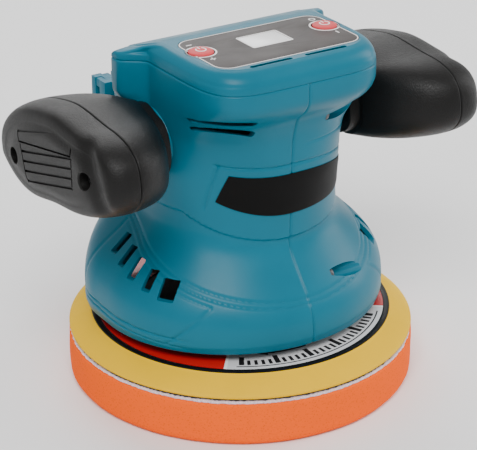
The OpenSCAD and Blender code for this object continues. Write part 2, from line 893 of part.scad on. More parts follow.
module control_panel() {
    color([0.53, 0.51, 0.50])
        translate([0, 0, top_z - panel_t])
            linear_extrude(height = panel_t)
                difference() {
                    panel_outline();
                    control_holes();
                }
}
module display_window() {
    color([0.95, 0.95, 0.95])
        translate([-window_w / 2, window_y - window_l / 2, top_z - 2])
            cube([window_w, window_l, 2]);
}
board_z = cover_z + 0.5;
board_t = 1.6;
module display_module() {
    color([0.25, 0.30, 0.28])
        translate([-window_w / 2 - 0.4, window_y - window_l / 2 - 0.4, board_z + board_t])
            cube([window_w + 0.8, window_l + 0.8, top_z - 2 - board_z - board_t]);
}
module control_board() {
    color(board_green)
        translate([-panel_w / 2, window_y - 10, board_z])
            cube([panel_w, 20, board_t]);
}
button_pin_z = top_z - 3;
button_pin_r = 0.7;
switch_h = 2.2;
module button_switches() {
    color([0.2, 0.2, 0.22])
        for (side = [-1, 1], y = [-3.2, 3.2])
            translate([side * button_x - 1.2, button_y + y - 1.2, board_z + board_t])
                cube([2.4, 2.4, switch_h]);
}
module button_carrier(side) {
    color([0.3, 0.3, 0.32])
        difference() {
            union()
                for (end = [-1, 1])
                    translate([side * button_x + end * (button_d / 2 - 1.5) - 0.7, button_y - 1.4, board_z + board_t])
                        cube([1.4, 2.8, button_pin_z + 1.3 - board_z - board_t]);
            along_x(side * button_x - 10, side * button_x + 10, [button_y, button_pin_z], button_pin_r + run_gap);
        }
}
module left_button_carrier() {
    button_carrier(-1);
}
module right_button_carrier() {
    button_carrier(1);
}
module rocker(side) {
    color([0.90, 0.30, 0.32])
        translate([side * button_x, button_y, 0])
            union() {
                translate([0, 0, button_pin_z + 1.6])
                    rotate_extrude()
                        polygon([
                            [0, 0], [button_d / 2, 0], [button_d / 2, 1.6], [button_d / 2 - 1, 2.1],
                            [button_d / 2 - 3, 2.4], [0, 2.5]
                        ]);
                translate([-2.6, -3.8, button_pin_z - 1.2])
                    cube([5.2, 7.6, 3]);
                along_x(-button_d / 2 + 0.8, button_d / 2 - 0.8, [0, button_pin_z], button_pin_r);
            }
}
module speed_button() {
    rocker(-1);
}
module power_button() {
    rocker(1);
}
power_board_size = [52, 48, 1.6];
power_board_z = upper_bearing_top + 4;
standoff_at = [20, 18];
standoff_r = 2.5;
module standoff_places() {
    for (x = [-1, 1], y = [-1, 1])
        translate([x * standoff_at[0], y * standoff_at[1], 0])
            children();
}
module power_board() {
    color(board_green)
        difference() {
            translate([-power_board_size[0] / 2, -power_board_size[1] / 2, power_board_z])
                cube(power_board_size);
            standoff_places()
                translate([0, 0, power_board_z - 1])
                    cylinder(h = 4, r = 1);
        }
}
module board_standoffs() {
    color([0.80, 0.70, 0.40])
        standoff_places() {
            translate([0, 0, upper_bearing_z])
                cylinder(h = power_board_z - upper_bearing_z, r = standoff_r);
            translate([0, 0, power_board_z])
                cylinder(h = power_board_size[2] + 1, r = 1);
        }
}

// ---------------------------------------------------------------- handles

// Grip stations: [distance from the middle, share of half length, share of half height]
grip_shape = [
    [0, 0.37, 0.80], [0.06, 0.50, 0.84], [0.15, 0.67, 0.90], [0.3, 0.85, 0.96], [0.48, 0.96, 0.99],
    [0.66, 1, 1], [0.8, 0.99, 0.98], [0.9, 0.95, 0.93], [0.96, 0.89, 0.85], [1, 0.80, 0.73]
];
grip_points = 36;
function grip_top(u) = lerp(0.47, 0.57, ease((u + 0.6) / 0.6)) - 0.09 * pow(max(0, u), 3);
function grip_low(u) = 0.44 - 0.035 * pow(cos(90 * (u - 0.08)), 8) - 0.26 * pow(max(0, u), 5);

// Outline of a grip at one station: egg-shaped bar that droops to the rear
function grip_ring(x, fl, fh, side) =
    [for (i = [0:grip_points - 1])
        let (
            a = side * 360 * i / grip_points,
            k = pow(pow(abs(cos(a)), grip_power) + pow(abs(sin(a)), grip_power), -1 / grip_power),
            u = k * cos(a),
            v = k * sin(a) * (sin(a) > 0 ? 2 * grip_top(u) : 2 * grip_low(u)),
            y = grip_l / 2 * fl * u,
            z = grip_h / 2 * fh * v
        )
        [side * x, grip_at[0] + y * cos(grip_droop) + z * sin(grip_droop),
            grip_at[1] - y * sin(grip_droop) + z * cos(grip_droop)]];

function grip_rings(side, t) =
    let (x0 = grip_in + t, x1 = grip_out - t, sl = 1 - 2 * t / grip_l, sh = 1 - 2 * t / grip_h)
    [for (s = grip_shape) grip_ring(lerp(x0, x1, s[0]), s[1] * sl, s[2] * sh, side)];

function grip_point(u) = [
    grip_at[0] + u * cos(grip_droop), grip_at[1] - u * sin(grip_droop)
];

module grip_slab(side, x0, x1) {
    translate([side > 0 ? x0 : -x1, -120, 0])
        cube([x1 - x0, 240, 240]);
}
module side_x(side, x0, x1, at, r) {
    along_x(side > 0 ? x0 : -x1, side > 0 ? x1 : -x0, at, r, undef, $fn = 32);
}
module grip_posts(side, x0, x1) {
    for (u = grip_screw_u)
        side_x(side, x0, x1, grip_point(u), 5);
}
module grip_half(side, x0, x1) {
    intersection() {
        union() {
            difference() {
                loft(grip_rings(side, 0));
                loft(grip_rings(side, grip_wall));
            }
            intersection() {
                loft(grip_rings(side, grip_wall / 2));
                union() {
                    grip_posts(side, grip_in + 11, grip_out - 2);
                    side_x(side, grip_in, grip_out - 6, handle_at, core_r + 3);
                }
            }
        }
        grip_slab(side, x0, x1);
    }
}
module grip_inner(side) {
    color(rubber_black)
        difference() {
            grip_half(side, grip_in, seam_x);
            side_x(side, grip_in - 5, grip_out - 6, handle_at, core_r + 0.15);
            for (u = grip_screw_u)
                side_x(side, grip_in + 14, seam_x + 1, grip_point(u), screw_r + 2 * run_gap);
            grip_finger_dimples(side);
        }
}
// Shallow finger dimples along the inner edge, cut as small rounded bars
module grip_finger_dimples(side) {
    for (u = [-36:9:36])
        hull()
            for (x = [-1.5, 1.5])
                translate([side * (seam_x - 7 + x), grip_point(u)[0], grip_point(u)[1] - grip_h / 2 - 2.6])
                    sphere(r = 2, $fn = 8);
}
module grip_groove(side, u0, u1, v) {
    hull()
        for (u = [u0, u1])
            translate([side * grip_out, grip_point(u)[0] + v * sin(grip_droop), grip_point(u)[1] + v * cos(grip_droop)])
                rotate([0, 90, 0])
                    cylinder(h = 1.6, r = 0.45, center = true, $fn = 8);
}
module grip_outer(side) {
    color(rubber_black)
        difference() {
            grip_half(side, seam_x, grip_out);
            side_x(side, grip_in, grip_out - 6, handle_at, core_r + 0.15);
            for (u = grip_screw_u) {
                side_x(side, seam_x - 1, grip_out + 1, grip_point(u), screw_r + 0.2);
                side_x(side, grip_out - 6, grip_out + 1, grip_point(u), screw_head_r + 0.2);
            }
            for (i = [0:4])
                grip_groove(side, -20 + i, 20 - i, 3 - 4 * i);
            grip_groove(side, -20, -14, 9);
            grip_groove(side, 2, 18, 9);
            grip_groove(side, 18, 22, 4);
        }
}
module left_grip_inner() {
    grip_inner(-1);
}
module left_grip_outer() {
    grip_outer(-1);
}
module right_grip_inner() {
    grip_inner(1);
}
module right_grip_outer() {
    grip_outer(1);
}
module grip_screws() {
    color(dark_steel)
        for (side = [-1, 1], u = grip_screw_u) {
            side_x(side, grip_in + 14, grip_out - 6, grip_point(u), screw_r);
            side_x(side, grip_out - 6, grip_out - 6 + screw_head_h, grip_point(u), screw_head_r);
        }
}
core_flange_r = boss_r - 2;
module handle_core(side) {
    color([0.2, 0.2, 0.21])
        difference() {
            union() {
                along_x(side > 0 ? head_w - 9 : -(grip_out - 6), side > 0 ? grip_out - 6 : -(head_w - 9),
                    handle_at, core_r);
                along_x(side > 0 ? head_w - 9 : -(head_w - 6), side > 0 ? head_w - 6 : -(head_w - 9),
                    handle_at, core_flange_r - 1);
            }
            along_x(-grip_out, grip_out, handle_at, core_r - 3);
        }
}
module left_handle_core() {
    handle_core(-1);
}
module right_handle_core() {
    handle_core(1);
}

// ---------------------------------------------------------------- battery mount

rail_top = roof_z - 0.4;
rail_z = rail_top - rail_h;
rail_y = neck_rear;
rail_slot = 5;
block_w = 40;
module battery_mount() {
    color(teal)
        difference() {
            translate([-rail_w / 2, rail_y, rail_z])
                cube([rail_w, rail_t, rail_h]);
            // channel for the terminal block, open at the top and rear
            translate([-block_w / 2 - play, rail_y + 4, rail_z + 6])
                cube([block_w + 2 * play, rail_t, rail_h]);
            // undercut rails
            for (side = [-1, 1])
                translate([side * (rail_w / 2 - 7) - rail_slot / 2, rail_y + 4, rail_z + 6])
                    cube([rail_slot, rail_t, rail_h]);
            for (side = [-1, 1])
                translate([side > 0 ? rail_w / 2 - 3 : -rail_w / 2 - 1, rail_y + 5, rail_z + 6])
                    cube([4, 3.5, rail_h]);
            mount_screw_places()
                cylinder(h = rail_t + 8, r = screw_r);
        }
}
module mount_screw_places() {
    for (side = [-1, 1], z = [rail_z + 10, rail_top - 10])
        translate([side * (block_w / 2 + 3.4), rail_y - 4, z])
            rotate([-90, 0, 0])
                children();
}
module battery_mount_screws() {
    color(dark_steel)
        mount_screw_places() {
            cylinder(h = rail_t + 4, r = screw_r);
            translate([0, 0, rail_t + 4])
                cylinder(h = 2, r = 3.4);
        }
}
module terminal_block() {
    color([0.13, 0.13, 0.14])
        difference() {
            translate([-block_w / 2, rail_y + 4, rail_z + 6])
                cube([block_w, 7, rail_h - 14]);
            for (x = blade_x)
                translate([x - 0.5, rail_y + 6, rail_z + 20])
                    cube([1, 10, 16]);
        }
}
blade_x = [-14, 0, 14];
module battery_terminals() {
    color([0.85, 0.70, 0.35])
        for (x = blade_x)
            translate([x - 0.5, rail_y + 6, rail_z + 20])
                cube([1, 9, 16]);
}

foam_pad();
loop_layer();
hook_layer();
backing_foam();
backing_plate();
pad_edge_ring();
pad_label_red();
pad_label_silver();
pad_hub();
plate_screws();
pad_washer();
pad_bolt();
pad_bearing_outer();
pad_bearing_balls();
pad_bearing_inner();
counterweight();
motor_shaft();
fan();
lower_bearing_outer();
lower_bearing_balls();
lower_bearing_inner();
motor_plate();
motor_plate_screws();
motor_can();
stator_core();
stator_windings();
rotor_core();
rotor_magnets();
motor_endcap();
upper_bearing_outer();
upper_bearing_balls();
upper_bearing_inner();
housing_left();
housing_right();
housing_screws();
label_band();
top_cover();
control_panel();
display_window();
display_module();
control_board();
button_switches();
left_button_carrier();
right_button_carrier();
speed_button();
power_button();
left_handle_core();
right_handle_core();
left_grip_inner();
left_grip_outer();
right_grip_inner();
right_grip_outer();
grip_screws();
power_board();
board_standoffs();
battery_mount();
terminal_block();
battery_terminals();
battery_mount_screws();
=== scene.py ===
"""Looks for the dual action polisher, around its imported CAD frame. Lengths are in millimetres."""
import json
import math

import bmesh
import bpy
import numpy as np
from mathutils import Matrix, Vector


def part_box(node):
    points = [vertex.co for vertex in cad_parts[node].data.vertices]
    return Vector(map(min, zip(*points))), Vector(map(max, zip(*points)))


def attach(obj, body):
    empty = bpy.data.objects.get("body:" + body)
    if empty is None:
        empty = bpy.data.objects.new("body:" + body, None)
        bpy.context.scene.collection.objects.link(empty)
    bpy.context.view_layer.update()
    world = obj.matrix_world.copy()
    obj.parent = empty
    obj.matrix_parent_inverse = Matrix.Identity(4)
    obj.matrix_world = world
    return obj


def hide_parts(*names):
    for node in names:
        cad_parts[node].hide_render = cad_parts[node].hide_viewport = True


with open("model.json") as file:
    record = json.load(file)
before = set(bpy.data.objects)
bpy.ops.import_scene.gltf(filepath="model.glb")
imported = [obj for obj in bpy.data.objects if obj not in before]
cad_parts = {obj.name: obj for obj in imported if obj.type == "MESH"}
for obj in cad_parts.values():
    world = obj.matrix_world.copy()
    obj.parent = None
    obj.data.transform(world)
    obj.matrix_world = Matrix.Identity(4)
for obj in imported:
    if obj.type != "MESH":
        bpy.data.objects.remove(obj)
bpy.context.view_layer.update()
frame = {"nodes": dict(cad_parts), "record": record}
NODES = frame["nodes"]
MM = 0.001

# ---- sizes


def low(node):
    """A CAD node's lowest corner in millimetres."""
    return [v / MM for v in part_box(node)[0]]


def high(node):
    """A CAD node's highest corner in millimetres."""
    return [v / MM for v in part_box(node)[1]]


RIM_Z = low("housing_left")[2]
COVER_Z = high("housing_left")[2]
TOP_Z = high("control_panel")[2]
BASE_R = -low("housing_left")[1]
BASE_REAR = high("housing_left")[1]
HEAD_FRONT = -low("top_cover")[1]
COVER_HALF = high("top_cover")[0]
PAD_Y = (low("foam_pad")[1] + high("foam_pad")[1]) / 2
FOAM_R = high("foam_pad")[0]
FOAM_H = high("foam_pad")[2]
LOOP_TOP = high("loop_layer")[2]
HOOK_TOP = high("hook_layer")[2]
BACKING_TOP = high("backing_foam")[2]
PAD_R = high("backing_foam")[0]
PLATE_R = high("backing_plate")[0]
LABEL_TOP = high("pad_label_red")[2]
GRIP_OUT = high("right_grip_outer")[0]
SEAM_X = low("right_grip_outer")[0]
GRIP_IN = low("right_grip_inner")[0]
RAIL_LOW = low("battery_mount")
RAIL_HIGH = high("battery_mount")

HEAD_Z = COVER_Z - 16.5
SHOULDER_TOP = HEAD_Z - 50
SKIRT_Z = RIM_Z + 10.7
SHOULDER_TILT = 6
NECK_R = 42.6
NECK_FRONT = 46.2
NECK_REAR = 38.5
HEAD_W = COVER_HALF - 9.5
WING_W = 9.5
WING_START = -5
WING_END = 7
WING_BACK = 3
CREST_Y = 12.5
CREST_Z = TOP_Z - 6.3
ROOF_Z = HEAD_Z - 6
WALL = 2.5
BOSS_R = 12.7
BOSS_END = 47
CORE_R = 11
HANDLE_AT = (-5, HEAD_Z - 16)
POCKET_R = 2.95
SCREW_SEATS = (
    (-(HEAD_FRONT - 12.7), HEAD_Z - 3.5), (-(BASE_R - 12.6), RIM_Z + 22.8),
    (NECK_REAR - 9, HEAD_Z - 12), (BASE_REAR - 8, RIM_Z + 5),
)
SCREW_SEAT_X = 15
SCREW_R = 2
OUTSIDE_X = 80

# ---- meshes


def to_object(name, verts, faces):
    """New object from millimetre points, with its faces turned outwards."""
    mesh = bpy.data.meshes.new(name)
    mesh.from_pydata((np.asarray(verts, dtype=float) * MM).tolist(), [], faces)
    bm = bmesh.new()
    bm.from_mesh(mesh)
    bmesh.ops.remove_doubles(bm, verts=bm.verts, dist=0.002 * MM)
    bmesh.ops.recalc_face_normals(bm, faces=bm.faces)
    bm.to_mesh(mesh)
    bm.free()
    obj = bpy.data.objects.new(name, mesh)
    bpy.context.scene.collection.objects.link(obj)
    return obj


def loft(name, rows):
    """Closed solid through rings of equal length, one per row."""
    rows = np.asarray(rows, dtype=float)
    count, n = rows.shape[:2]
    faces = [tuple(range(n))]
    for j in range(count - 1):
        for i in range(n):
            a = j * n + i
            b = j * n + (i + 1) % n
            faces.append((a, b, b + n, a + n))
    faces.append(tuple((count - 1) * n + i for i in range(n)))
    return to_object(name, rows.reshape(-1, 3), faces)


def lathe(name, profile, centre=(0, 0), steps=192):
    """Solid turned about a vertical axis from (radius, height) points; a closed profile gives a ring."""
    closed = profile[0] == profile[-1]
    if closed:
        profile = profile[:-1]
    m = len(profile)
    verts = []
    for k in range(steps):
        turn = 2 * math.pi * k / steps
        for radius, height in profile:
            verts.append((centre[0] + radius * math.cos(turn), centre[1] + radius * math.sin(turn), height))
    faces = []
    for k in range(steps):
        for i in range(m if closed else m - 1):
            a = k * m + i
            b = k * m + (i + 1) % m
            c = ((k + 1) % steps) * m
            faces.append((a, b, c + (i + 1) % m, c + i))
    return to_object(name, verts, faces)


def prism(name, outline, place, depth):
    """Solid from a flat outline: place(u, v, w) gives a point, with w running from 0 to depth."""
    n = len(outline)
    verts = [place(u, v, 0) for u, v in outline] + [place(u, v, depth) for u, v in outline]
    faces = [tuple(range(n)), tuple(range(n, 2 * n))]
    faces += [(i, (i + 1) % n, n + (i + 1) % n, n + i) for i in range(n)]
    return to_object(name, verts, faces)


def apply_modifiers(obj):
    """Bakes an object's modifiers into its mesh."""
    graph = bpy.context.evaluated_depsgraph_get()
    mesh = bpy.data.meshes.new_from_object(obj.evaluated_get(graph))
    obj.modifiers.clear()
    obj.data = mesh


def combine(obj, tools, operation="DIFFERENCE"):
    """Boolean of closed solids; the tools are used up."""
    for tool in tools:
        mod = obj.modifiers.new("shape", "BOOLEAN")
        mod.operation = operation
        mod.solver = "MANIFOLD"
        mod.object = tool
    apply_modifiers(obj)
    for tool in tools:
        bpy.data.objects.remove(tool)
    return obj


def join(name, parts):
    """One object from several."""
    bm = bmesh.new()
    for part in parts:
        bm.from_mesh(part.data)
        bpy.data.objects.remove(part)
    mesh = bpy.data.meshes.new(name)
    bm.to_mesh(mesh)
    bm.free()
    obj = bpy.data.objects.new(name, mesh)
    bpy.context.scene.collection.objects.link(obj)
    return obj


def smooth(obj, angle=32):
    """Smooth shading that stays crisp at edges sharper than the angle."""
    obj.data.shade_smooth()
    obj.data.set_sharp_from_angle(angle=math.radians(angle))
    return obj


def soften(obj, width=0.4, angle=35, segments=3):
    """Rounds an object's hard edges."""
    mod = obj.modifiers.new("edges", "BEVEL")
    mod.width = width * MM
    mod.segments = segments
    mod.limit_method = "ANGLE"
    mod.angle_limit = math.radians(angle)
    mod.use_clamp_overlap = True
    apply_modifiers(obj)
    return smooth(obj)


def cad_copy(name, node, width=0.4):
    """A CAD node's own shape with its edges rounded, which stands for the node."""
    bm = bmesh.new()
    bm.from_mesh(NODES[node].data)
    bmesh.ops.remove_doubles(bm, verts=bm.verts, dist=0.01 * MM)
    bmesh.ops.dissolve_limit(bm, angle_limit=math.radians(2), verts=bm.verts, edges=bm.edges)
    mesh = bpy.data.meshes.new(name)
    bm.to_mesh(mesh)
    bm.free()
    obj = bpy.data.objects.new(name, mesh)
    bpy.context.scene.collection.objects.link(obj)
    return soften(obj, width)


def finish_piece(obj, body, slot, nodes=(), paint=None):
    """Gives a new piece its body and the material of its slot, or the given paint, and hides the CAD nodes
    it stands for.
    """
    obj.data.materials.clear()
    obj.data.materials.append(paint or finish_of(slot))
    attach(obj, body)
    if nodes:
        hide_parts(*nodes)
    return obj


# ---- materials


class Paint:
    """Builds one node material in object space."""

    def __init__(self, name, rough, metal=0.0, gloss=0.5):
        self.mat = bpy.data.materials.new(name)
        self.mat.use_nodes = True
        self.tree = self.mat.node_tree
        self.shader = self.tree.nodes["Principled BSDF"]
        self.shader.inputs["Metallic"].default_value = metal
        self.shader.inputs["Roughness"].default_value = rough
        self.shader.inputs["Specular IOR Level"].default_value = gloss
        self.coord = self.add("ShaderNodeTexCoord").outputs["Object"]

    def add(self, kind, **values):
        node = self.tree.nodes.new(kind)
        for key, value in values.items():
            setattr(node, key, value)
        return node

    def link(self, source, target):
        self.tree.links.new(source, target)

    def noise(self, scale, detail=3.0, stretch=None):
        node = self.add("ShaderNodeTexNoise")
        node.inputs["Scale"].default_value = scale
        node.inputs["Detail"].default_value = detail
        self.link(self.stretched(stretch), node.inputs["Vector"])
        return node.outputs["Fac"]

    def cells(self, scale, feature="F1", stretch=None):
        node = self.add("ShaderNodeTexVoronoi", feature=feature)
        node.inputs["Scale"].default_value = scale
        self.link(self.stretched(stretch), node.inputs["Vector"])
        return node.outputs["Distance"]

    def bands(self, scale, direction, distortion=0.0):
        node = self.add("ShaderNodeTexWave", bands_direction=direction)
        node.inputs["Scale"].default_value = scale
        node.inputs["Distortion"].default_value = distortion
        self.link(self.coord, node.inputs["Vector"])
        return node.outputs["Fac"]

    def stretched(self, stretch):
        if stretch is None:
            return self.coord
        node = self.add("ShaderNodeMapping")
        node.inputs["Scale"].default_value = stretch
        self.link(self.coord, node.inputs["Vector"])
        return node.outputs["Vector"]

    def remap(self, source, from_low, from_high, to_low, to_high):
        node = self.add("ShaderNodeMapRange")
        for key, value in zip(("From Min", "From Max", "To Min", "To Max"),
                              (from_low, from_high, to_low, to_high)):
            node.inputs[key].default_value = value
        self.link(source, node.inputs["Value"])
        return node.outputs["Result"]

    def colour(self, source, first, second, positions=(0.3, 0.7)):
        node = self.add("ShaderNodeValToRGB")
        for element, place, rgb in zip(node.color_ramp.elements, positions, (first, second)):
            element.position = place
            element.color = (*rgb, 1)
        self.link(source, node.inputs["Fac"])
        self.link(node.outputs["Color"], self.shader.inputs["Base Color"])

    def roughness(self, source, least, most):
        self.link(self.remap(source, 0.3, 0.7, least, most), self.shader.inputs["Roughness"])

    def bump(self, *layers):
        """Each layer is (source, height in millimetres, strength)."""
        normal = None
        for source, height, strength in layers:
            node = self.add("ShaderNodeBump")
            node.inputs["Distance"].default_value = height * MM
            node.inputs["Strength"].default_value = strength
            self.link(source, node.inputs["Height"])
            if normal is not None:
                self.link(normal, node.inputs["Normal"])
            normal = node.outputs["Normal"]
        self.link(normal, self.shader.inputs["Normal"])

    def coat(self, weight, rough):
        self.shader.inputs["Coat Weight"].default_value = weight
        self.shader.inputs["Coat Roughness"].default_value = rough

    def sheen(self, weight):
        self.shader.inputs["Sheen Weight"].default_value = weight
        self.shader.inputs["Sheen Roughness"].default_value = 0.4


def shade(rgb, factor):
    return tuple(min(1.0, c * factor) for c in rgb)


def moulded(name, rgb, rough=0.42, grain=0.03, coat=0.0, gloss=0.3):
    """Injection-moulded plastic with a fine texture and faint flow marks."""
    paint = Paint(name, rough, 0.0, gloss)
    paint.colour(paint.noise(28, 4), shade(rgb, 0.93), shade(rgb, 1.05))
    paint.roughness(paint.noise(55, 5), rough - 0.05, rough + 0.07)
    paint.bump((paint.noise(2600, 2), grain, 0.5), (paint.noise(120, 3), 0.02, 0.25))
    paint.coat(coat, 0.2)
    return paint.mat


def machined(name, rgb, rough=0.3, direction="Z", metal=1.0):
    """Turned or ground metal with fine tool lines."""
    paint = Paint(name, rough, metal)
    paint.colour(paint.noise(90, 5), shade(rgb, 0.86), shade(rgb, 1.08))
    paint.roughness(paint.noise(400, 3), rough - 0.07, rough + 0.1)
    paint.bump((paint.bands(900, direction, 1.5), 0.01, 0.35))
    return paint.mat


def open_foam(name, rgb):
    """Foam with round pores of two sizes."""
    paint = Paint(name, 0.9, 0.0, 0.08)
    paint.colour(paint.cells(900), shade(rgb, 0.8), shade(rgb, 1.0), (0.05, 0.38))
    paint.bump((paint.cells(650), 0.25, 0.45), (paint.cells(1700), 0.12, 0.4))
    return paint.mat


def closed_foam(name, rgb):
    """Skinned foam, nearly smooth, with a faint speckle."""
    paint = Paint(name, 0.55, 0.0, 0.08)
    paint.colour(paint.noise(60, 6), shade(rgb, 0.95), rgb)
    paint.roughness(paint.noise(300, 4), 0.48, 0.62)
    paint.bump((paint.cells(2200), 0.04, 0.3), (paint.noise(150, 3), 0.05, 0.25))
    return paint.mat


def fleece(name, rgb):
    """Brushed loop pile."""
    paint = Paint(name, 0.95)
    paint.colour(paint.noise(1500, 5), shade(rgb, 0.6), rgb)
    paint.bump((paint.noise(2200, 5), 0.4, 0.9))
    paint.sheen(0.5)
    return paint.mat


def soft_rubber(name, rgb, rough=0.5):
    """Soft-touch rubber with a leather-like grain."""
    paint = Paint(name, rough, 0.0, 0.2)
    paint.colour(paint.noise(70, 6), shade(rgb, 0.98), shade(rgb, 1.03))
    paint.roughness(paint.noise(900, 3), rough - 0.03, rough + 0.05)
    grain = paint.remap(paint.cells(900, "DISTANCE_TO_EDGE"), 0, 0.12, 0, 1)
    paint.bump((grain, 0.08, 0.5), (paint.noise(1800, 3), 0.05, 0.5))
    return paint.mat


def cast(name, rgb, metal=1.0):
    """Sand-cast metal with a pitted skin."""
    paint = Paint(name, 0.6, metal)
    paint.colour(paint.noise(140, 6), shade(rgb, 0.7), shade(rgb, 1.1))
    paint.bump((paint.noise(900, 6), 0.2, 0.6))
    return paint.mat


def laminated(name, rgb):
    """Stack of thin steel sheets."""
    paint = Paint(name, 0.45, 1.0)
    paint.colour(paint.bands(320, "Z", 0.3), shade(rgb, 0.5), rgb)
    paint.bump((paint.bands(320, "Z", 0.3), 0.1, 0.7))
    return paint.mat


def wound(name, rgb):
    """Enamelled copper wire, laid round."""
    paint = Paint(name, 0.28, 1.0)
    paint.colour(paint.bands(260, "Z", 2.0), shade(rgb, 0.45), rgb)
    paint.bump((paint.bands(260, "Z", 2.0), 0.25, 0.8))
    paint.coat(0.6, 0.1)
    return paint.mat


def board(name, rgb):
    """Circuit board with faint tracks under its solder mask."""
    paint = Paint(name, 0.3)
    tracks = paint.cells(180, "DISTANCE_TO_EDGE")
    paint.colour(tracks, shade(rgb, 1.9), rgb, (0.04, 0.08))
    paint.bump((tracks, 0.04, 0.3))
    paint.coat(0.5, 0.15)
    return paint.mat


FINISHES = {
    "orange_foam": (open_foam, dict(rgb=(0.95, 0.115, 0.0))),
    "loop_pile": (fleece, dict(rgb=(0.88, 0.72, 0.80))),
    "hook_nylon": (fleece, dict(rgb=(0.03, 0.022, 0.02))),
    "yellow_foam": (closed_foam, dict(rgb=(0.80, 0.47, 0.0))),
    "plate_black": (moulded, dict(rgb=(0.015, 0.015, 0.016))),
    "ring_black": (moulded, dict(rgb=(0.005, 0.005, 0.006), rough=0.35, grain=0.01, gloss=0.15)),
    "label_red": (moulded, dict(rgb=(0.50, 0.008, 0.008), rough=0.35, grain=0.01, coat=0.3)),
    "label_silver": (moulded, dict(rgb=(0.62, 0.62, 0.63), rough=0.35, grain=0.01, coat=0.3)),
    "machined_steel": (machined, dict(rgb=(0.55, 0.56, 0.58))),
    "screw_steel": (machined, dict(rgb=(0.12, 0.12, 0.125), rough=0.4)),
    "bearing_steel": (machined, dict(rgb=(0.60, 0.61, 0.63), rough=0.22)),
    "ball_steel": (machined, dict(rgb=(0.75, 0.76, 0.78), rough=0.12)),
    "weight_iron": (cast, dict(rgb=(0.22, 0.19, 0.15))),
    "fan_plastic": (moulded, dict(rgb=(0.02, 0.02, 0.022))),
    "motor_alloy": (cast, dict(rgb=(0.42, 0.43, 0.45))),
    "can_paint": (moulded, dict(rgb=(0.02, 0.021, 0.023), rough=0.35, grain=0.04, coat=0.4)),
    "lamination_steel": (laminated, dict(rgb=(0.35, 0.36, 0.38))),
    "winding_copper": (wound, dict(rgb=(0.75, 0.30, 0.11))),
    "magnet_grey": (machined, dict(rgb=(0.12, 0.12, 0.14), rough=0.4, direction="X", metal=0.4)),
    "teal_plastic": (moulded, dict(rgb=(0.0, 0.125, 0.19), rough=0.36, gloss=0.2)),
    "band_black": (moulded, dict(rgb=(0.0035, 0.0035, 0.0035), rough=0.5, grain=0.01, gloss=0.08)),
    "panel_grey": (moulded, dict(rgb=(0.045, 0.038, 0.036), rough=0.5, grain=0.02)),
    "window_white": (moulded, dict(rgb=(0.86, 0.86, 0.87), rough=0.25, grain=0.005, coat=0.4)),
    "module_grey": (moulded, dict(rgb=(0.05, 0.06, 0.06))),
    "board_green": (board, dict(rgb=(0.01, 0.08, 0.03))),
    "switch_black": (moulded, dict(rgb=(0.02, 0.02, 0.022))),
    "button_red": (moulded, dict(rgb=(0.62, 0.055, 0.065), rough=0.5, grain=0.02, gloss=0.2)),
    "core_plastic": (moulded, dict(rgb=(0.02, 0.02, 0.022))),
    "grip_rubber": (soft_rubber, dict(rgb=(0.0065, 0.0062, 0.006), rough=0.42)),
    "terminal_brass": (machined, dict(rgb=(0.60, 0.42, 0.14), rough=0.25, direction="X")),
    "print_white": (moulded, dict(rgb=(0.80, 0.78, 0.77), rough=0.45, grain=0.01)),
    "print_black": (moulded, dict(rgb=(0.01, 0.01, 0.011), rough=0.45, grain=0.01)),
}
made_finishes = {}


def finish_of(slot):
    """The material of a slot, made once."""
    if slot not in made_finishes:
        maker, look = FINISHES[slot]
        made_finishes[slot] = maker(slot, **look)
    return made_finishes[slot]


def paint_frame():
    """Every CAD node gets its slot's material."""
    for row in frame["record"]["subparts"]:
        data = NODES[row["node"]].data
        data.materials.clear()
        data.materials.append(finish_of(row["material_slot"]))


# ---- body surface


def ease(t):
    t = np.clip(t, 0, 1)
    return t * t * (3 - 2 * t)


def soft_ease(t):
    t = np.clip(t, 0, 1)
    return t ** 3 * (10 - 15 * t + 6 * t * t)


def bell(z):
    t = (z - SKIRT_Z) / (SHOULDER_TOP - SKIRT_Z)
    if t <= 0:
        return 1.0
    if t >= 1:
        return 0.0
    return (1 + math.cos(math.pi * t ** 1.2)) / 2


def rim_round(z):
    return 1 - float(ease((z - RIM_Z) / 4)) if z < RIM_Z + 4 else 0.0


def flare(z, neck, base):
    return neck + (base - neck) * bell(z)


def lower_station(z):
    """[z, front, half width, rear, front power, rear power, wing] of the skirt and shoulder."""
    edge = rim_round(z)
    return [z, flare(z + SHOULDER_TILT, NECK_FRONT, BASE_R) - edge, flare(z, NECK_R, BASE_R) - edge,
            flare(z - SHOULDER_TILT, NECK_REAR, BASE_REAR) - edge, 2, 2 + 1.5 * (1 - bell(z)), 0]


def roof_y(z):
    return NECK_REAR + (CREST_Y - NECK_REAR) * (z - ROOF_Z) / (CREST_Z - ROOF_Z)


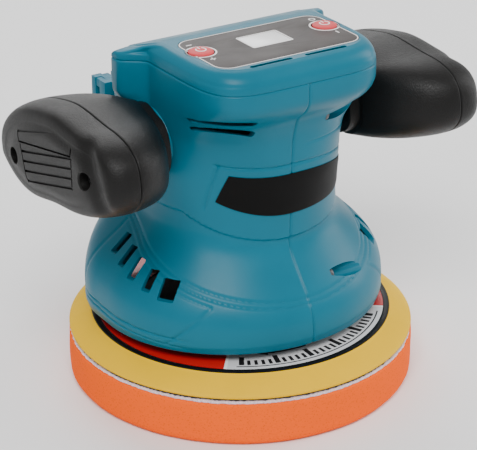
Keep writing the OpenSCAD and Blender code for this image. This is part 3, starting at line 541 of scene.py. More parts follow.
def head_stations():
    """Stations of the neck and head, from the shoulder to the cover's seam."""
    blend_w = NECK_R + (HEAD_W - NECK_R) * 0.6
    step = HEAD_FRONT - NECK_FRONT
    return [
        lower_station(SHOULDER_TOP - 8), lower_station(SHOULDER_TOP - 4), lower_station(SHOULDER_TOP),
        [SHOULDER_TOP + 12, NECK_FRONT + 0.1, NECK_R - 0.4, NECK_REAR, 2.05, 3.7, 0],
        [SHOULDER_TOP + 22, NECK_FRONT + 0.4, blend_w, NECK_REAR, 2.2, 4, 0],
        [SHOULDER_TOP + 32, NECK_FRONT + 0.8, HEAD_W - 0.5, NECK_REAR, 2.4, 4.4, 0],
        [HEAD_Z - 10, NECK_FRONT + 1.4, HEAD_W - 0.5, NECK_REAR, 2.7, 5, WING_W * 0.1],
        [HEAD_Z - 6, NECK_FRONT + 2.3, HEAD_W - 0.5, NECK_REAR, 3.1, 5, WING_W * 0.4],
        [HEAD_Z - 1, NECK_FRONT + step * 0.34, HEAD_W - 0.4, roof_y(HEAD_Z - 1), 3.7, 5, WING_W * 0.8],
        [HEAD_Z + 3, NECK_FRONT + step * 0.7, HEAD_W - 0.2, roof_y(HEAD_Z + 3), 4.4, 5, WING_W],
        [HEAD_Z + 7.5, HEAD_FRONT - 0.6, HEAD_W, roof_y(HEAD_Z + 7.5), 5, 5, WING_W],
        [HEAD_Z + 12, HEAD_FRONT, HEAD_W, roof_y(HEAD_Z + 12), 5.5, 5, WING_W],
        [COVER_Z, HEAD_FRONT, HEAD_W, roof_y(COVER_Z), 5.5, 5, WING_W],
    ]


def hermite(keys, table, at):
    """Smooth curve through a table's rows without overshoot."""
    k = min(max(int(np.searchsorted(keys, at, "right")) - 1, 0), len(keys) - 2)
    span = keys[k + 1] - keys[k]
    t = (at - keys[k]) / span

    def slope(i):
        if i == 0 or i == len(keys) - 1:
            a, b = (0, 1) if i == 0 else (-2, -1)
            return (table[b] - table[a]) / (keys[b] - keys[a])
        left = (table[i] - table[i - 1]) / (keys[i] - keys[i - 1])
        right = (table[i + 1] - table[i]) / (keys[i + 1] - keys[i])
        both = np.where(left * right > 0, (left + right) / 2, 0.0)
        limit = 3 * np.minimum(abs(left), abs(right))
        return np.clip(both, -limit, limit)

    return ((2 * t ** 3 - 3 * t ** 2 + 1) * table[k] + (t ** 3 - 2 * t ** 2 + t) * span * slope(k)
            + (3 * t ** 2 - 2 * t ** 3) * table[k + 1] + (t ** 3 - t ** 2) * span * slope(k + 1))


HEAD_TABLE = np.array(head_stations(), dtype=float)


def station(z):
    """The body's station at any height."""
    if z <= SHOULDER_TOP:
        return np.array(lower_station(z), dtype=float)
    return hermite(HEAD_TABLE[:, 0], HEAD_TABLE, z)


def reach(angle, power):
    """Radius factor of a superellipse at angles from its first axis, in radians."""
    return (abs(np.sin(angle)) ** power + abs(np.cos(angle)) ** power) ** (-1 / power)


FRONT_STEPS = 150
WING_STEPS = 18
REAR_STEPS = 76


def half_outline(s, wing=(WING_START, WING_END), thin=1, wall=0.0):
    """Right half of a station's outline, from the front middle round to the rear middle."""
    _, front, half, rear, fp, rp, width = s
    share = (width / WING_W) ** 2
    close = min(wing[1] + 0.4 + (WING_BACK + 3.0 - wall) * share, rear - 0.3)
    turn = close - 0.2 - 3.0 * share
    start, end = wing
    a = np.linspace(0, np.pi / 2, FRONT_STEPS // thin + 1)
    k = reach(a, fp)
    first = np.stack([half * k * np.sin(a), start - (front + start) * k * np.cos(a)], 1)
    t = np.linspace(0, 1, WING_STEPS // thin + 1)
    middle = np.stack([half + width * soft_ease(t[1:]), start + (end - start) * t[1:]], 1)
    back = np.stack([half + width * (1 - ease(t[:-1])), turn + (close - turn) * t[:-1]], 1)
    b = np.linspace(0, np.pi / 2, REAR_STEPS // thin + 1)
    k = reach(b, rp)
    last = np.stack([half * k * np.cos(b), close + (rear - close) * k * np.sin(b)], 1)
    return np.concatenate([first, middle, back, last])


def pulled_in(s, wall):
    """A station moved in by the wall."""
    t = np.array(s, dtype=float)
    t[1] -= wall
    t[2] -= wall
    t[3] -= wall * (1.5 if t[0] > ROOF_Z - 1 else 1)
    return t


def full_ring(s, thin=1, z=None, wing=(WING_START, WING_END), wall=0.0):
    """Whole outline of a station as points."""
    half = half_outline(s, wing, thin, wall)
    other = half[-2:0:-1] * (-1, 1)
    flat = np.concatenate([half, other])
    return np.column_stack([flat, np.full(len(flat), s[0] if z is None else z)])


def front_point(angle, z, out=0.0):
    """Point on the front of the body at an angle from the middle, in degrees."""
    _, front, half, _, power, _, _ = station(z)
    a = math.radians(angle)
    k = float(reach(a, power))
    return ((half + out) * k * math.sin(a), WING_START - (front + WING_START + out) * k * math.cos(a), z)


# ---- moulded-in lines

RING_Z = 51.2
RING_SLOPE = 0.34
RING_W = 1.9
BAND_LOW = SHOULDER_TOP + 6
BAND_HIGH = SHOULDER_TOP + 23.8
BAND_ENDS = (-44, 84)
BAND_LEAN = 7


def band_low_z(angle):
    return BAND_LOW + np.where(angle < 0, 0.41, 0.0) * (angle / 10) ** 2


def band_high_z(angle):
    return BAND_HIGH + np.where(angle < 0, 0.16, -0.18) * (angle / 10) ** 2


def groove(distance, width, depth):
    """Depth of a rounded groove at a distance from its middle."""
    return depth * np.exp(-(distance / width) ** 2)


def between(value, start, end, soft):
    """1 inside a span, 0 outside, with soft ends."""
    return ease((value - start) / soft + 0.5) * ease((end - value) / soft + 0.5)


def line_depth(x, y, z):
    """How far the moulded-in lines sink the housing's surface at each point."""
    angle = np.degrees(np.arctan2(x, -y))
    side = abs(angle)
    ring = z - (RING_Z + RING_SLOPE * (y + BASE_R))
    depth = 0.3 * between(ring, -RING_W, 0, 0.5)
    depth += groove(ring, 0.42, 0.55) + groove(ring + RING_W, 0.42, 0.55)
    # parting line of the two halves
    depth += groove(x, 0.42, 0.6)
    # outline round each row of vents
    edge = side - 46.4 + 0.97 * (z - 46.3)
    end = side - 104.9 + 0.13 * (z - 57)
    panel_top = ring + 3.8
    inside_panel = between(panel_top, -60, 0, 0.1) * between(z, RIM_Z + 3, 200, 1)
    depth += groove(edge, 0.8, 0.55) * inside_panel
    depth += groove(end, 0.7, 0.5) * inside_panel
    depth += groove(panel_top, 0.4, 0.5) * between(edge, 0, 200, 1) * between(end, -200, 0, 1)
    # two fine lines above the rim on the left
    for start, slope in ((6.4, 0.05), (3.3, 0.075)):
        depth += groove(z - RIM_Z - start - slope * (side - 64), 0.38, 0.5) * between(-angle, 50, 108, 8)
    # shallow collar where the neck meets the shoulder
    collar = 74.9 + np.where(angle < 0, 0.0034, 0.0014) * np.minimum(side, 60) ** 2
    depth += 0.9 * ease((collar - z) / 1.2 + 0.5) * ease((z - collar + 14) / 12)
    # step round the label, and a fine ring above it
    lean = angle - (BAND_ENDS[0] - 4.2 + BAND_LEAN * (z - BAND_LOW) / (BAND_HIGH - BAND_LOW))
    over = z - band_high_z(angle) - 4.0
    along = between(angle, BAND_ENDS[0] + 3.4, BAND_ENDS[1] + 6, 1)
    depth += groove(over, 0.5, 0.55) * along
    depth += groove(lean, 0.8, 0.6) * between(z, BAND_LOW + 4, BAND_HIGH + 6.5, 1)
    depth += groove(z - 115.9, 0.45, 0.35) * between(angle, 10, 100, 14)
    return depth


def spaced_heights():
    """Row heights of the housing: close together where there are lines."""
    spans = ((RIM_Z + 0.6, RIM_Z + 6, 0.45), (RIM_Z + 6, 72, 0.5), (72, SHOULDER_TOP + 2, 0.7),
             (SHOULDER_TOP + 2, BAND_HIGH - 2, 1.1), (BAND_HIGH - 2, BAND_HIGH + 14, 0.55),
             (BAND_HIGH + 14, COVER_Z - 1, 0.9))
    heights = [RIM_Z, RIM_Z + 0.15, RIM_Z + 0.35]
    for start, end, step in spans:
        heights += list(np.arange(start, end - step / 2, step))
    return heights + [COVER_Z - 0.8, COVER_Z - 0.45, COVER_Z - 0.2, COVER_Z]


def edge_inset(z):
    """Rounding at the rim and at the seam under the cover."""
    lower = max(0.0, 0.6 - (z - RIM_Z)) ** 2
    upper = max(0.0, 0.6 - (COVER_Z - z)) ** 2
    return 0.9 * lower + 1.1 * upper


def body_rows(side):
    """Grid of points over one half of the housing, with its lines sunk in."""
    heights = spaced_heights()
    flat = np.array([half_outline(station(z)) for z in heights])
    grid = np.concatenate([flat, np.repeat(np.array(heights)[:, None, None], flat.shape[1], 1)], 2)
    round_way = np.gradient(grid, axis=1)
    up_way = np.gradient(grid, axis=0)
    normal = np.cross(up_way, round_way)
    normal /= np.linalg.norm(normal, axis=2, keepdims=True)
    up = np.array([0, 0, 1])
    if np.sum(normal[:, :, :2] * grid[:, :, :2]) < 0:
        normal = -normal
    depth = line_depth(side * grid[:, :, 0], grid[:, :, 1], grid[:, :, 2])
    depth += np.array([edge_inset(z) for z in heights])[:, None]
    grid = grid - normal * depth[:, :, None] * (1 - 0.6 * abs(normal @ up))[:, :, None]
    grid[:, 0, 0] = 0
    grid[:, -1, 0] = 0
    grid[:, :, 2] = np.clip(grid[:, :, 2], RIM_Z, COVER_Z)
    grid[0, :, 2] = RIM_Z
    grid[-1, :, 2] = COVER_Z
    grid[:, :, 0] *= side
    return grid


# ---- housing


def turned_x(name, profile, at, steps):
    """Solid turned about an axis along X at (y, z), from (x, radius) points."""
    turn = np.linspace(0, 2 * np.pi, steps, endpoint=False)
    rows = [np.stack([np.full(steps, x), at[0] + r * np.cos(turn), at[1] + r * np.sin(turn)], 1)
            for x, r in profile]
    return loft(name, rows)


def tube_x(name, x0, x1, at, r0, r1=None, steps=48):
    """Solid round bar along X at (y, z)."""
    return turned_x(name, ((x0, r0), (x1, r0 if r1 is None else r1)), at, steps)


def handle_boss(side):
    """Round boss on the side of the neck that carries a grip."""
    profile = [(39.6, BOSS_R + 1.6), (41.2, BOSS_R + 0.9), (42.4, BOSS_R + 0.3), (43.6, BOSS_R + 0.05),
               (45, BOSS_R), (BOSS_END - 0.6, BOSS_R), (BOSS_END - 0.2, BOSS_R - 0.25),
               (BOSS_END, BOSS_R - 0.7)]
    return turned_x("boss", [(side * x, r) for x, r in profile], HANDLE_AT, 96)


def rounded(outline, radius, steps=5):
    """Outline with its corners rounded."""
    points = []
    n = len(outline)
    for i in range(n):
        corner = np.array(outline[i], dtype=float)
        before = np.array(outline[i - 1]) - corner
        after = np.array(outline[(i + 1) % n]) - corner
        before = before / np.linalg.norm(before) * radius
        after = after / np.linalg.norm(after) * radius
        for t in np.linspace(0, 1, steps):
            points.append(corner + before * (1 - t) ** 2 + after * t ** 2)
    return [tuple(p) for p in points]


VENT_ANGLES = (-94.2, -85, -76, -67, -57.8)
VENT_WIDTHS = (4.2, 4.2, 4.2, 4.2, 7.3)
VENT_LEAN = 0.3
VENT_TILT = 0.23


def capsule(start, end, radius, steps=9):
    """Outline of a straight slot with round ends."""
    start, end = np.array(start, dtype=float), np.array(end, dtype=float)
    way = (end - start) / np.linalg.norm(end - start)
    across = np.array([-way[1], way[0]])
    turn = np.linspace(-math.pi / 2, math.pi / 2, steps)
    return [tuple(centre + sign * radius * (way * math.cos(t) + across * math.sin(t)))
            for centre, sign in ((end, 1), (start, -1)) for t in turn]


def skirt_vent(angle, wide, side):
    """Slanted cutter through the skirt."""
    r = BASE_R - 8
    z_mid = RIM_Z + 31.5 - VENT_TILT * r * math.cos(math.radians(angle))
    outline = rounded([(-VENT_LEAN - wide / 2, z_mid - 4), (-VENT_LEAN + wide / 2, z_mid - 4),
                       (VENT_LEAN + wide / 2, z_mid + 3.6), (VENT_LEAN - wide / 2, z_mid + 3.6)], 0.6)
    turn = math.radians(angle)

    def place(u, v, w):
        y = -r - 13 + w
        return (-side * (u * math.cos(turn) - y * math.sin(turn)),
                u * math.sin(turn) + y * math.cos(turn), v)

    return prism("vent", outline, place, 26)


NECK_VENTS = (
    ((-39.3, HEAD_Z + 1.5), (-34.3, HEAD_Z + 3.8), (-22.6, HEAD_Z + 2.5), 1.1),
    ((-37.7, HEAD_Z - 2.7), (-31.9, HEAD_Z - 1.3), (-20.3, HEAD_Z - 4.2), 1.4),
)


def neck_vent(left, middle, right, radius):
    """Curved cutter at the top of the neck, left of the middle, through three (x, z) points."""
    left, middle, right = (np.array(p, dtype=float) for p in (left, middle, right))
    line = [left * (1 - t) * (1 - 2 * t) + middle * 4 * t * (1 - t) + right * t * (2 * t - 1)
            for t in np.linspace(0, 1, 15)]
    upper = [p + (0, radius) for p in line]
    lower = [p - (0, radius) for p in line[::-1]]
    cap = [np.array([radius * math.cos(t), radius * math.sin(t)]) for t in (0.9, 0, -0.9)]
    tip = [right + p for p in cap]
    heel = [left - p for p in cap]
    outline = [tuple(p) for p in upper + tip + lower + heel]
    return prism("slot", outline, lambda u, v, w: (u, -62 + w, v), 52)


def body_cavity():
    """Inner face of the shells as a solid."""
    heights = [RIM_Z - 1] + list(np.linspace(RIM_Z, COVER_Z, 70)) + [COVER_Z + 1]
    rows = []
    for z in heights:
        inner = pulled_in(station(min(max(z, RIM_Z), COVER_Z)), WALL)
        rows.append(full_ring(inner, 3, z, wall=WALL))
    return loft("cavity", rows)


def box_solid(corner, opposite):
    """Plain box used as a cutter."""
    (x0, y0, z0), (x1, y1, z1) = corner, opposite
    outline = [(x0, y0), (x1, y0), (x1, y1), (x0, y1)]
    return prism("box", outline, lambda u, v, w: (u, v, z0 + w), z1 - z0)


def hand(side):
    return "right" if side > 0 else "left"


def housing_half(side):
    """One clamshell half with its vents, pockets and handle boss."""
    shell = loft("housing_shell_" + hand(side), body_rows(side))
    outer = shell.copy()
    outer.data = shell.data.copy()
    bpy.context.scene.collection.objects.link(outer)
    combine(shell, [body_cavity()])
    if side > 0:
        sleeves = [tube_x("sleeve", SCREW_SEAT_X - 2, BASE_R, s, POCKET_R + 1.6) for s in SCREW_SEATS]
        for sleeve in sleeves:
            trim = outer.copy()
            bpy.context.scene.collection.objects.link(trim)
            combine(sleeve, [trim], "INTERSECT")
        combine(shell, sleeves, "UNION")
        combine(shell, [tube_x("pocket", SCREW_SEAT_X, OUTSIDE_X, s, POCKET_R) for s in SCREW_SEATS])
        combine(shell, [tube_x("bore", 5, 20, s, SCREW_R + 0.2) for s in SCREW_SEATS])
    bpy.data.objects.remove(outer)
    combine(shell, [handle_boss(side)], "UNION")
    cutters = [tube_x("bore", side * 20, side * 60, HANDLE_AT, CORE_R + 0.12, steps=96)]
    cutters += [skirt_vent(angle, wide, side) for angle, wide in zip(VENT_ANGLES, VENT_WIDTHS)]
    if side < 0:
        cutters += [neck_vent(*vent) for vent in NECK_VENTS]
    cutters.append(box_solid(RAIL_LOW, [RAIL_HIGH[0], RAIL_HIGH[1] + 2, RAIL_HIGH[2]]))
    combine(shell, cutters)
    smooth(shell, 30)
    return finish_piece(shell, "housing", "teal_plastic", ["housing_" + hand(side)])


def label_band():
    """Plain black band round the front of the neck, with softly rounded borders."""
    steps, rows = 90, 9
    grid = []
    for j in range(rows):
        v = j / (rows - 1)
        row = []
        for i in range(steps + 1):
            t = i / steps
            low_a = BAND_ENDS[0] + (BAND_ENDS[1] - BAND_ENDS[0]) * t
            high_a = BAND_ENDS[0] + BAND_LEAN + (BAND_ENDS[1] - BAND_ENDS[0] - BAND_LEAN) * t
            a = low_a + (high_a - low_a) * v
            z = float(band_low_z(low_a) * (1 - v) + band_high_z(high_a) * v)
            row.append((a, z))
        grid.append(row)
    verts, faces = [], []
    for out in (0.5, -0.4):
        for j, row in enumerate(grid):
            for i, (a, z) in enumerate(row):
                rim = j in (0, rows - 1) or i in (0, steps)
                verts.append(front_point(a, z, out - (0.2 if rim and out > 0 else 0)))
    n = steps + 1
    back = rows * n
    for j in range(rows - 1):
        for i in range(steps):
            a = j * n + i
            faces.append((a, a + 1, a + n + 1, a + n))
            faces.append((back + a, back + a + n, back + a + n + 1, back + a + 1))
    border = list(range(n)) + [j * n + steps for j in range(1, rows)]
    border += [(rows - 1) * n + i for i in range(steps - 1, -1, -1)]
    border += [j * n for j in range(rows - 2, 0, -1)]
    for k, a in enumerate(border):
        b = border[(k + 1) % len(border)]
        faces.append((a, b, back + b, back + a))
    band = smooth(to_object("label_strip", verts, faces), 50)
    return finish_piece(band, "housing", "band_black", ["label_band"])


# ---- cover and panel

PANEL_Y = -29
PANEL_W = 69
PANEL_L = 38
PANEL_ROUND = 7
BUTTON_X = 29.8
BUTTON_Y = -25.2
BUTTON_R = 5.2
MARK_GAP = 9.2
WINDOW_W = 18.2
WINDOW_L = 12.8
WINDOW_Y = -25.75
SLOT_Y = -(HEAD_FRONT - 8.4)
SLOT_ENDS = (4, 22)
SLOT_R = 0.95
RELIEF_R = 2


def cover_table():
    """Cover stations with their wing's start and end, keyed by step."""
    rows = [
        [COVER_Z, HEAD_FRONT, HEAD_W, roof_y(COVER_Z), 5.5, 5, WING_W, WING_START, WING_END],
        [CREST_Z, HEAD_FRONT - 0.3, HEAD_W - 0.1, CREST_Y, 5.5, 5, WING_W - 0.2, WING_START, WING_END],
        [TOP_Z - 5, HEAD_FRONT - 0.6, HEAD_W - 0.3, CREST_Y - 3, 5.5, 5, WING_W - 2, -2.4, 4.5],
        [TOP_Z - 3.6, HEAD_FRONT - 1.2, HEAD_W - 0.7, CREST_Y - 7, 5.5, 5, WING_W - 6.5, -4, 2],
        [TOP_Z - 2, HEAD_FRONT - 2.6, HEAD_W - 1.8, CREST_Y - 11.5, 5.5, 5, 1, -8, -2],
        [TOP_Z - 0.8, HEAD_FRONT - 4.6, HEAD_W - 3.2, CREST_Y - 15, 5.5, 5, 0.2, -13, -6],
        [TOP_Z, HEAD_FRONT - 7.2, HEAD_W - 5, CREST_Y - 18.5, 5.5, 5, 0, -18, -11],
    ]
    return np.array(rows, dtype=float)


def round_rect(width, length, radius, centre=(0, 0), steps=10):
    """Rounded rectangle outline."""
    points = []
    for quarter, (sx, sy) in enumerate(((1, 1), (-1, 1), (-1, -1), (1, -1))):
        for t in np.linspace(0, math.pi / 2, steps):
            a = quarter * math.pi / 2 + t
            points.append((centre[0] + sx * (width / 2 - radius) + radius * math.cos(a),
                           centre[1] + sy * (length / 2 - radius) + radius * math.sin(a)))
    return points


def circle(radius, centre, steps=64):
    turn = np.linspace(0, 2 * math.pi, steps, endpoint=False)
    return [(centre[0] + radius * math.cos(t), centre[1] + radius * math.sin(t)) for t in turn]


def arc(centre, radius, start, end, steps):
    """Points on an arc, angles in degrees."""
    return [(centre[0] + radius * math.cos(math.radians(a)), centre[1] + radius * math.sin(math.radians(a)))
            for a in np.linspace(start, end, steps)]


def arc_band(centre, inner, outer, start, end, steps):
    """Outline of a ring sector, angles in degrees."""
    return arc(centre, outer, start, end, steps) + arc(centre, inner, end, start, steps)


def upright(name, outline, z0, z1):
    """Vertical prism between two heights."""
    return prism(name, outline, lambda u, v, w: (u, v, z0 + w), z1 - z0)


def top_cover():
    """Lid with softly rounded edges, a recess for the panel and two slots."""
    table = cover_table()
    keys = np.arange(len(table), dtype=float)
    rows = []
    for step in np.linspace(0, len(table) - 1, 61):
        s = hermite(keys, table, step)
        seam = max(0.0, 0.6 - (s[0] - COVER_Z)) ** 2 * 1.1
        s[1:4] -= seam
        rows.append(full_ring(s[:7], 2, None, (s[7], s[8])))
    flat_top = rows[-1].copy()
    centre = np.array([0, (flat_top[:, 1].min() + flat_top[:, 1].max()) / 2, TOP_Z])
    rows.append(centre + (flat_top - centre) * 0.985)
    cover = loft("cover_lid", rows)
    inner = []
    for z in (COVER_Z - 1, COVER_Z, TOP_Z - 7, TOP_Z - 5):
        s = pulled_in(hermite(table[:, 0], table, max(z, COVER_Z)), WALL)
        inner.append(full_ring(s[:7], 4, z, (s[7], s[8]), WALL))
    recess = round_rect(PANEL_W, PANEL_L, PANEL_ROUND, (0, PANEL_Y))
    cutters = [loft("hollow", inner), upright("recess", recess, TOP_Z - 0.8, TOP_Z + 2)]
    for side in (-1, 1):
        ends = [(x, SLOT_Y) for x in sorted((side * SLOT_ENDS[0], side * SLOT_ENDS[1]))]
        cutters.append(upright("slot", capsule(*ends, SLOT_R), COVER_Z - 1, TOP_Z + 1))
        cutters.append(upright("relief", capsule(*ends, RELIEF_R), COVER_Z - 1, TOP_Z - 0.5))
        cutters.append(upright("hole", circle(BUTTON_R + 0.8, (side * BUTTON_X, BUTTON_Y)),
                               COVER_Z - 1, TOP_Z + 1))
    window = round_rect(WINDOW_W + 1, WINDOW_L + 1, 0.6, (0, WINDOW_Y), 4)
    cutters.append(upright("window", window, COVER_Z - 1, TOP_Z + 1))
    combine(cover, cutters)
    smooth(cover, 30)
    return finish_piece(cover, "housing", "teal_plastic", ["top_cover"])


def control_panel():
    """Printed film in the cover's recess."""
    panel = upright("panel_film", round_rect(PANEL_W - 0.3, PANEL_L - 0.3, PANEL_ROUND, (0, PANEL_Y)),
                    TOP_Z - 0.8, TOP_Z - 0.05)
    cutters = [upright("hole", circle(BUTTON_R + 0.3, (side * BUTTON_X, BUTTON_Y)), TOP_Z - 3, TOP_Z + 1)
               for side in (-1, 1)]
    cutters.append(upright("window", round_rect(WINDOW_W, WINDOW_L, 0.5, (0, WINDOW_Y), 4),
                           TOP_Z - 3, TOP_Z + 1))
    combine(panel, cutters)
    soften(panel, 0.12, 40, 2)
    return finish_piece(panel, "housing", "panel_grey", ["control_panel"])


def flat_frame(name, outer, inner, z0, z1):
    """Flat frame between two outlines."""
    return combine(upright(name, outer, z0, z1), [upright("inside", inner, z0 - 1, z1 + 1)])


def panel_print():
    """Printed rim, window frame and plain control marks."""
    z0, z1 = TOP_Z - 0.1, TOP_Z
    middle, window = (0, PANEL_Y), (0, WINDOW_Y)
    parts = [
        flat_frame("rim", round_rect(PANEL_W - 0.8, PANEL_L - 0.8, PANEL_ROUND - 0.3, middle),
                   round_rect(PANEL_W - 1.7, PANEL_L - 1.7, PANEL_ROUND - 0.8, middle), z0, z1),
        flat_frame("frame", round_rect(WINDOW_W + 1.2, WINDOW_L + 1.2, 0.9, window, 5),
                   round_rect(WINDOW_W + 0.1, WINDOW_L + 0.1, 0.5, window, 5), z0, z1),
    ]
    for side in (-1, 1):
        at = (side * BUTTON_X, BUTTON_Y)
        parts.append(flat_frame("halo", circle(BUTTON_R + 1.3, at), circle(BUTTON_R + 0.6, at), z0, z1))
    above, below = BUTTON_Y + MARK_GAP, BUTTON_Y - MARK_GAP
    marks = ((-BUTTON_X, above, 2.6, 0.6), (-BUTTON_X, below, 2.6, 0.6),
             (-BUTTON_X, below, 0.6, 2.6), (BUTTON_X, below, 0.6, 2.6))
    for x, y, width, length in marks:
        parts.append(upright("mark", round_rect(width, length, 0.2, (x, y), 3), z0, z1))
    zero = (BUTTON_X, above)
    parts.append(flat_frame("zero", circle(1.5, zero, 32), circle(0.95, zero, 32), z0, z1))
    prints = join("panel_print", parts)
    smooth(prints, 30)
    return finish_piece(prints, "housing", "panel_grey", (), finish_of("print_white"))


def display():
    """Clear window over a blank white screen."""
    pane = upright("display_pane", round_rect(WINDOW_W - 0.1, WINDOW_L - 0.1, 0.5, (0, WINDOW_Y), 4),
                   TOP_Z - 2, TOP_Z - 0.04)
    soften(pane, 0.15, 40, 2)
    return finish_piece(pane, "housing", "window_white", ["display_window"])


def rocker(side, node, body):
    """Soft dome button on its rocker block, with a plain ring-and-bar mark."""
    at = (side * BUTTON_X, BUTTON_Y)
    top = high(node)[2]
    base = top - 2.5
    dome = [(0.0, base - 0.02), (BUTTON_R - 0.3, base - 0.02)]
    dome += [(BUTTON_R, base + 0.3), (BUTTON_R, base + 1.5)]
    for t in np.linspace(0, 1, 14)[1:]:
        a = t * math.pi / 2
        dome.append((BUTTON_R - 2.4 + 2.4 * math.cos(a) if t < 1 else BUTTON_R - 2.4,
                     base + 1.5 + 0.8 * math.sin(a)))
    dome += [(BUTTON_R - 3.6, base + 2.42), (0.0, top)]
    cap = lathe(node + "_cap", dome, at, 96)
    block = box_solid((at[0] - 2.6, at[1] - 3.8, base - 2.8), (at[0] + 2.6, at[1] + 3.8, base + 0.2))
    pin = tube_x("pin", at[0] - BUTTON_R + 0.8, at[0] + BUTTON_R - 0.8, (at[1], base - 1.6), 0.7, None, 32)
    cap = join(node + "_cap", [cap, block, pin])
    smooth(cap, 40)
    finish_piece(cap, body, "button_red", [node])
    power = join(node + "_mark", [
        upright("ring", arc_band(at, 1.75, 2.3, 125, 415, 40), base + 1.9, top),
        upright("bar", round_rect(0.55, 2.2, 0.2, (at[0], at[1] + 1.8), 3), base + 1.9, top)])
    smooth(power, 30)
    finish_piece(power, body, "button_red", (), finish_of("print_white"))
    return cap


# ---- pad


def ruffle(obj, amount, scale, seed):
    """Small smooth lumps over a soft piece."""
    rng = np.random.default_rng(seed)
    waves = rng.normal(0, scale, (24, 3))
    phases = rng.uniform(0, 2 * np.pi, 24)
    count = len(obj.data.vertices)
    points = np.empty(count * 3)
    obj.data.vertices.foreach_get("co", points)
    points = points.reshape(-1, 3) / MM
    lump = np.sin(points @ waves.T + phases).mean(1) * amount
    away = points - (0, PAD_Y, 0)
    away[:, 2] = 0
    size = np.maximum(np.linalg.norm(away, axis=1, keepdims=True), 1)
    points += away / size * lump[:, None]
    obj.data.vertices.foreach_set("co", (points * MM).ravel())
    obj.data.update()


def foam_pad():
    """Open-cell polishing foam with rounded lower edge."""
    r, edge = FOAM_R - 0.35, 3.4
    profile = [(0.0, 0.0)] + [(x, 0.0) for x in np.linspace(8, r - edge - 1, 9)]
    profile += arc((r - edge, edge), edge, -90, 0, 10)
    for t in np.linspace(0.08, 1, 12):
        profile.append((r + 0.15 * math.sin(math.pi * t), edge + (FOAM_H - edge - 1) * t))
    profile += arc((r - 0.9, FOAM_H - 0.9), 0.9, 20, 90, 5)
    profile += [(r * 0.6, FOAM_H), (0.0, FOAM_H)]
    foam = lathe("polishing_foam", profile, (0, PAD_Y), 288)
    ruffle(foam, 0.5, 0.25, 7)
    smooth(foam, 60)
    finish_piece(foam, "pad", "orange_foam", ["foam_pad"])
    return foam


def frayed_layer(name, node, z0, z1, radius, bite, seed, slot):
    """Thin pile layer whose rim is finely uneven."""
    rng = np.random.default_rng(seed)
    steps = 540
    rough = rng.uniform(-bite, 0, steps)
    rows = []
    for z, inset in ((z0, 0.35), (z0 + 0.2, 0.1), ((z0 + z1) / 2, 0), (z1 - 0.2, 0.1), (z1, 0.35)):
        turn = np.linspace(0, 2 * np.pi, steps, endpoint=False)
        r = radius + rough - inset
        rows.append(np.stack([r * np.cos(turn), PAD_Y + r * np.sin(turn), np.full(steps, z)], 1))
    layer = smooth(loft(name, rows), 60)
    return finish_piece(layer, "pad", slot, [node])


def backing_foam():
    """Moulded yellow cone under the plate, with a rolled lower edge."""
    inner = PLATE_R - 8
    profile = [(0.0, HOOK_TOP)] + [(x, HOOK_TOP) for x in (20.0, 50.0, PAD_R - 1.6)]
    profile += arc((PAD_R - 1.2, HOOK_TOP + 1.1), 1.1, -70, 35, 7)
    slope_end = (PLATE_R + 0.5, BACKING_TOP - 0.45)
    start = profile[-1]
    for t in np.linspace(0.08, 1, 12):
        sag = 0.25 * math.sin(math.pi * t)
        profile.append((start[0] + (slope_end[0] - start[0]) * t,
                        start[1] + (slope_end[1] - start[1]) * t + sag))
    plate_low = low("backing_plate")[2]
    profile += [(PLATE_R + 0.12, BACKING_TOP - 0.08), (PLATE_R + 0.02, BACKING_TOP - 0.12),
                (PLATE_R + 0.02, plate_low), (inner, plate_low), (0.0, plate_low)]
    foam = lathe("backing_cone", profile, (0, PAD_Y), 288)
    smooth(foam, 40)
    finish_piece(foam, "pad", "yellow_foam", ["backing_foam"])
    return foam


LABEL_SPAN = (-38, 51)


def sector(name, r0, r1, start, end, z0, z1, steps=40):
    """Flat ring sector; angles in degrees from the front towards +X."""
    return upright(name, arc_band((0, PAD_Y), r0, r1, start - 90, end - 90, steps), z0, z1)


def label_print():
    """Plain scale ticks, turn arrows and border lines on the printed ring."""
    z0, z1 = LABEL_TOP - 0.05, LABEL_TOP + 0.06
    outer = PLATE_R - 2.7
    parts = []
    middle = sum(LABEL_SPAN) / 2
    for k, a in enumerate(np.arange(LABEL_SPAN[0] + 6, LABEL_SPAN[1] - 5, 3.0)):
        long_tick = k % 5 == 0
        length = 6.5 if long_tick else 3.8
        width = 1.1 if long_tick else 0.7
        parts.append(sector("tick", outer - 3.4 - length, outer - 3.4, a - width, a + width, z0, z1, 4))
    parts.append(sector("line", outer - 2.4, outer - 1.8, LABEL_SPAN[0] + 4, LABEL_SPAN[1] - 4, z0, z1))
    for side in (-1, 1):
        mid_r = outer - 12.7
        near, far = middle + side * 6, middle + side * 26
        parts.append(sector("arrow", mid_r - 0.7, mid_r + 0.7, near, far, z0, z1))
        tip = math.radians(far + side * 5 - 90)
        base = math.radians(far - 90)
        head = [(mid_r * math.cos(tip), PAD_Y + mid_r * math.sin(tip))]
        for r in (mid_r - 2, mid_r + 2)[::side]:
            head.append((r * math.cos(base), PAD_Y + r * math.sin(base)))
        parts.append(upright("head", head, z0, z1))
    ticks = join("label_ticks", parts)
    finish_piece(smooth(ticks, 30), "pad", "label_silver", (), finish_of("print_black"))
    borders = join("label_borders", [
        sector("left", 46, outer, LABEL_SPAN[0] - 0.8, LABEL_SPAN[0] + 0.4, z0, z1, 6),
        sector("right", 46, outer, LABEL_SPAN[1] - 0.4, LABEL_SPAN[1] + 0.8, z0, z1, 6)])
    finish_piece(smooth(borders, 30), "pad", "label_silver", (), finish_of("print_white"))


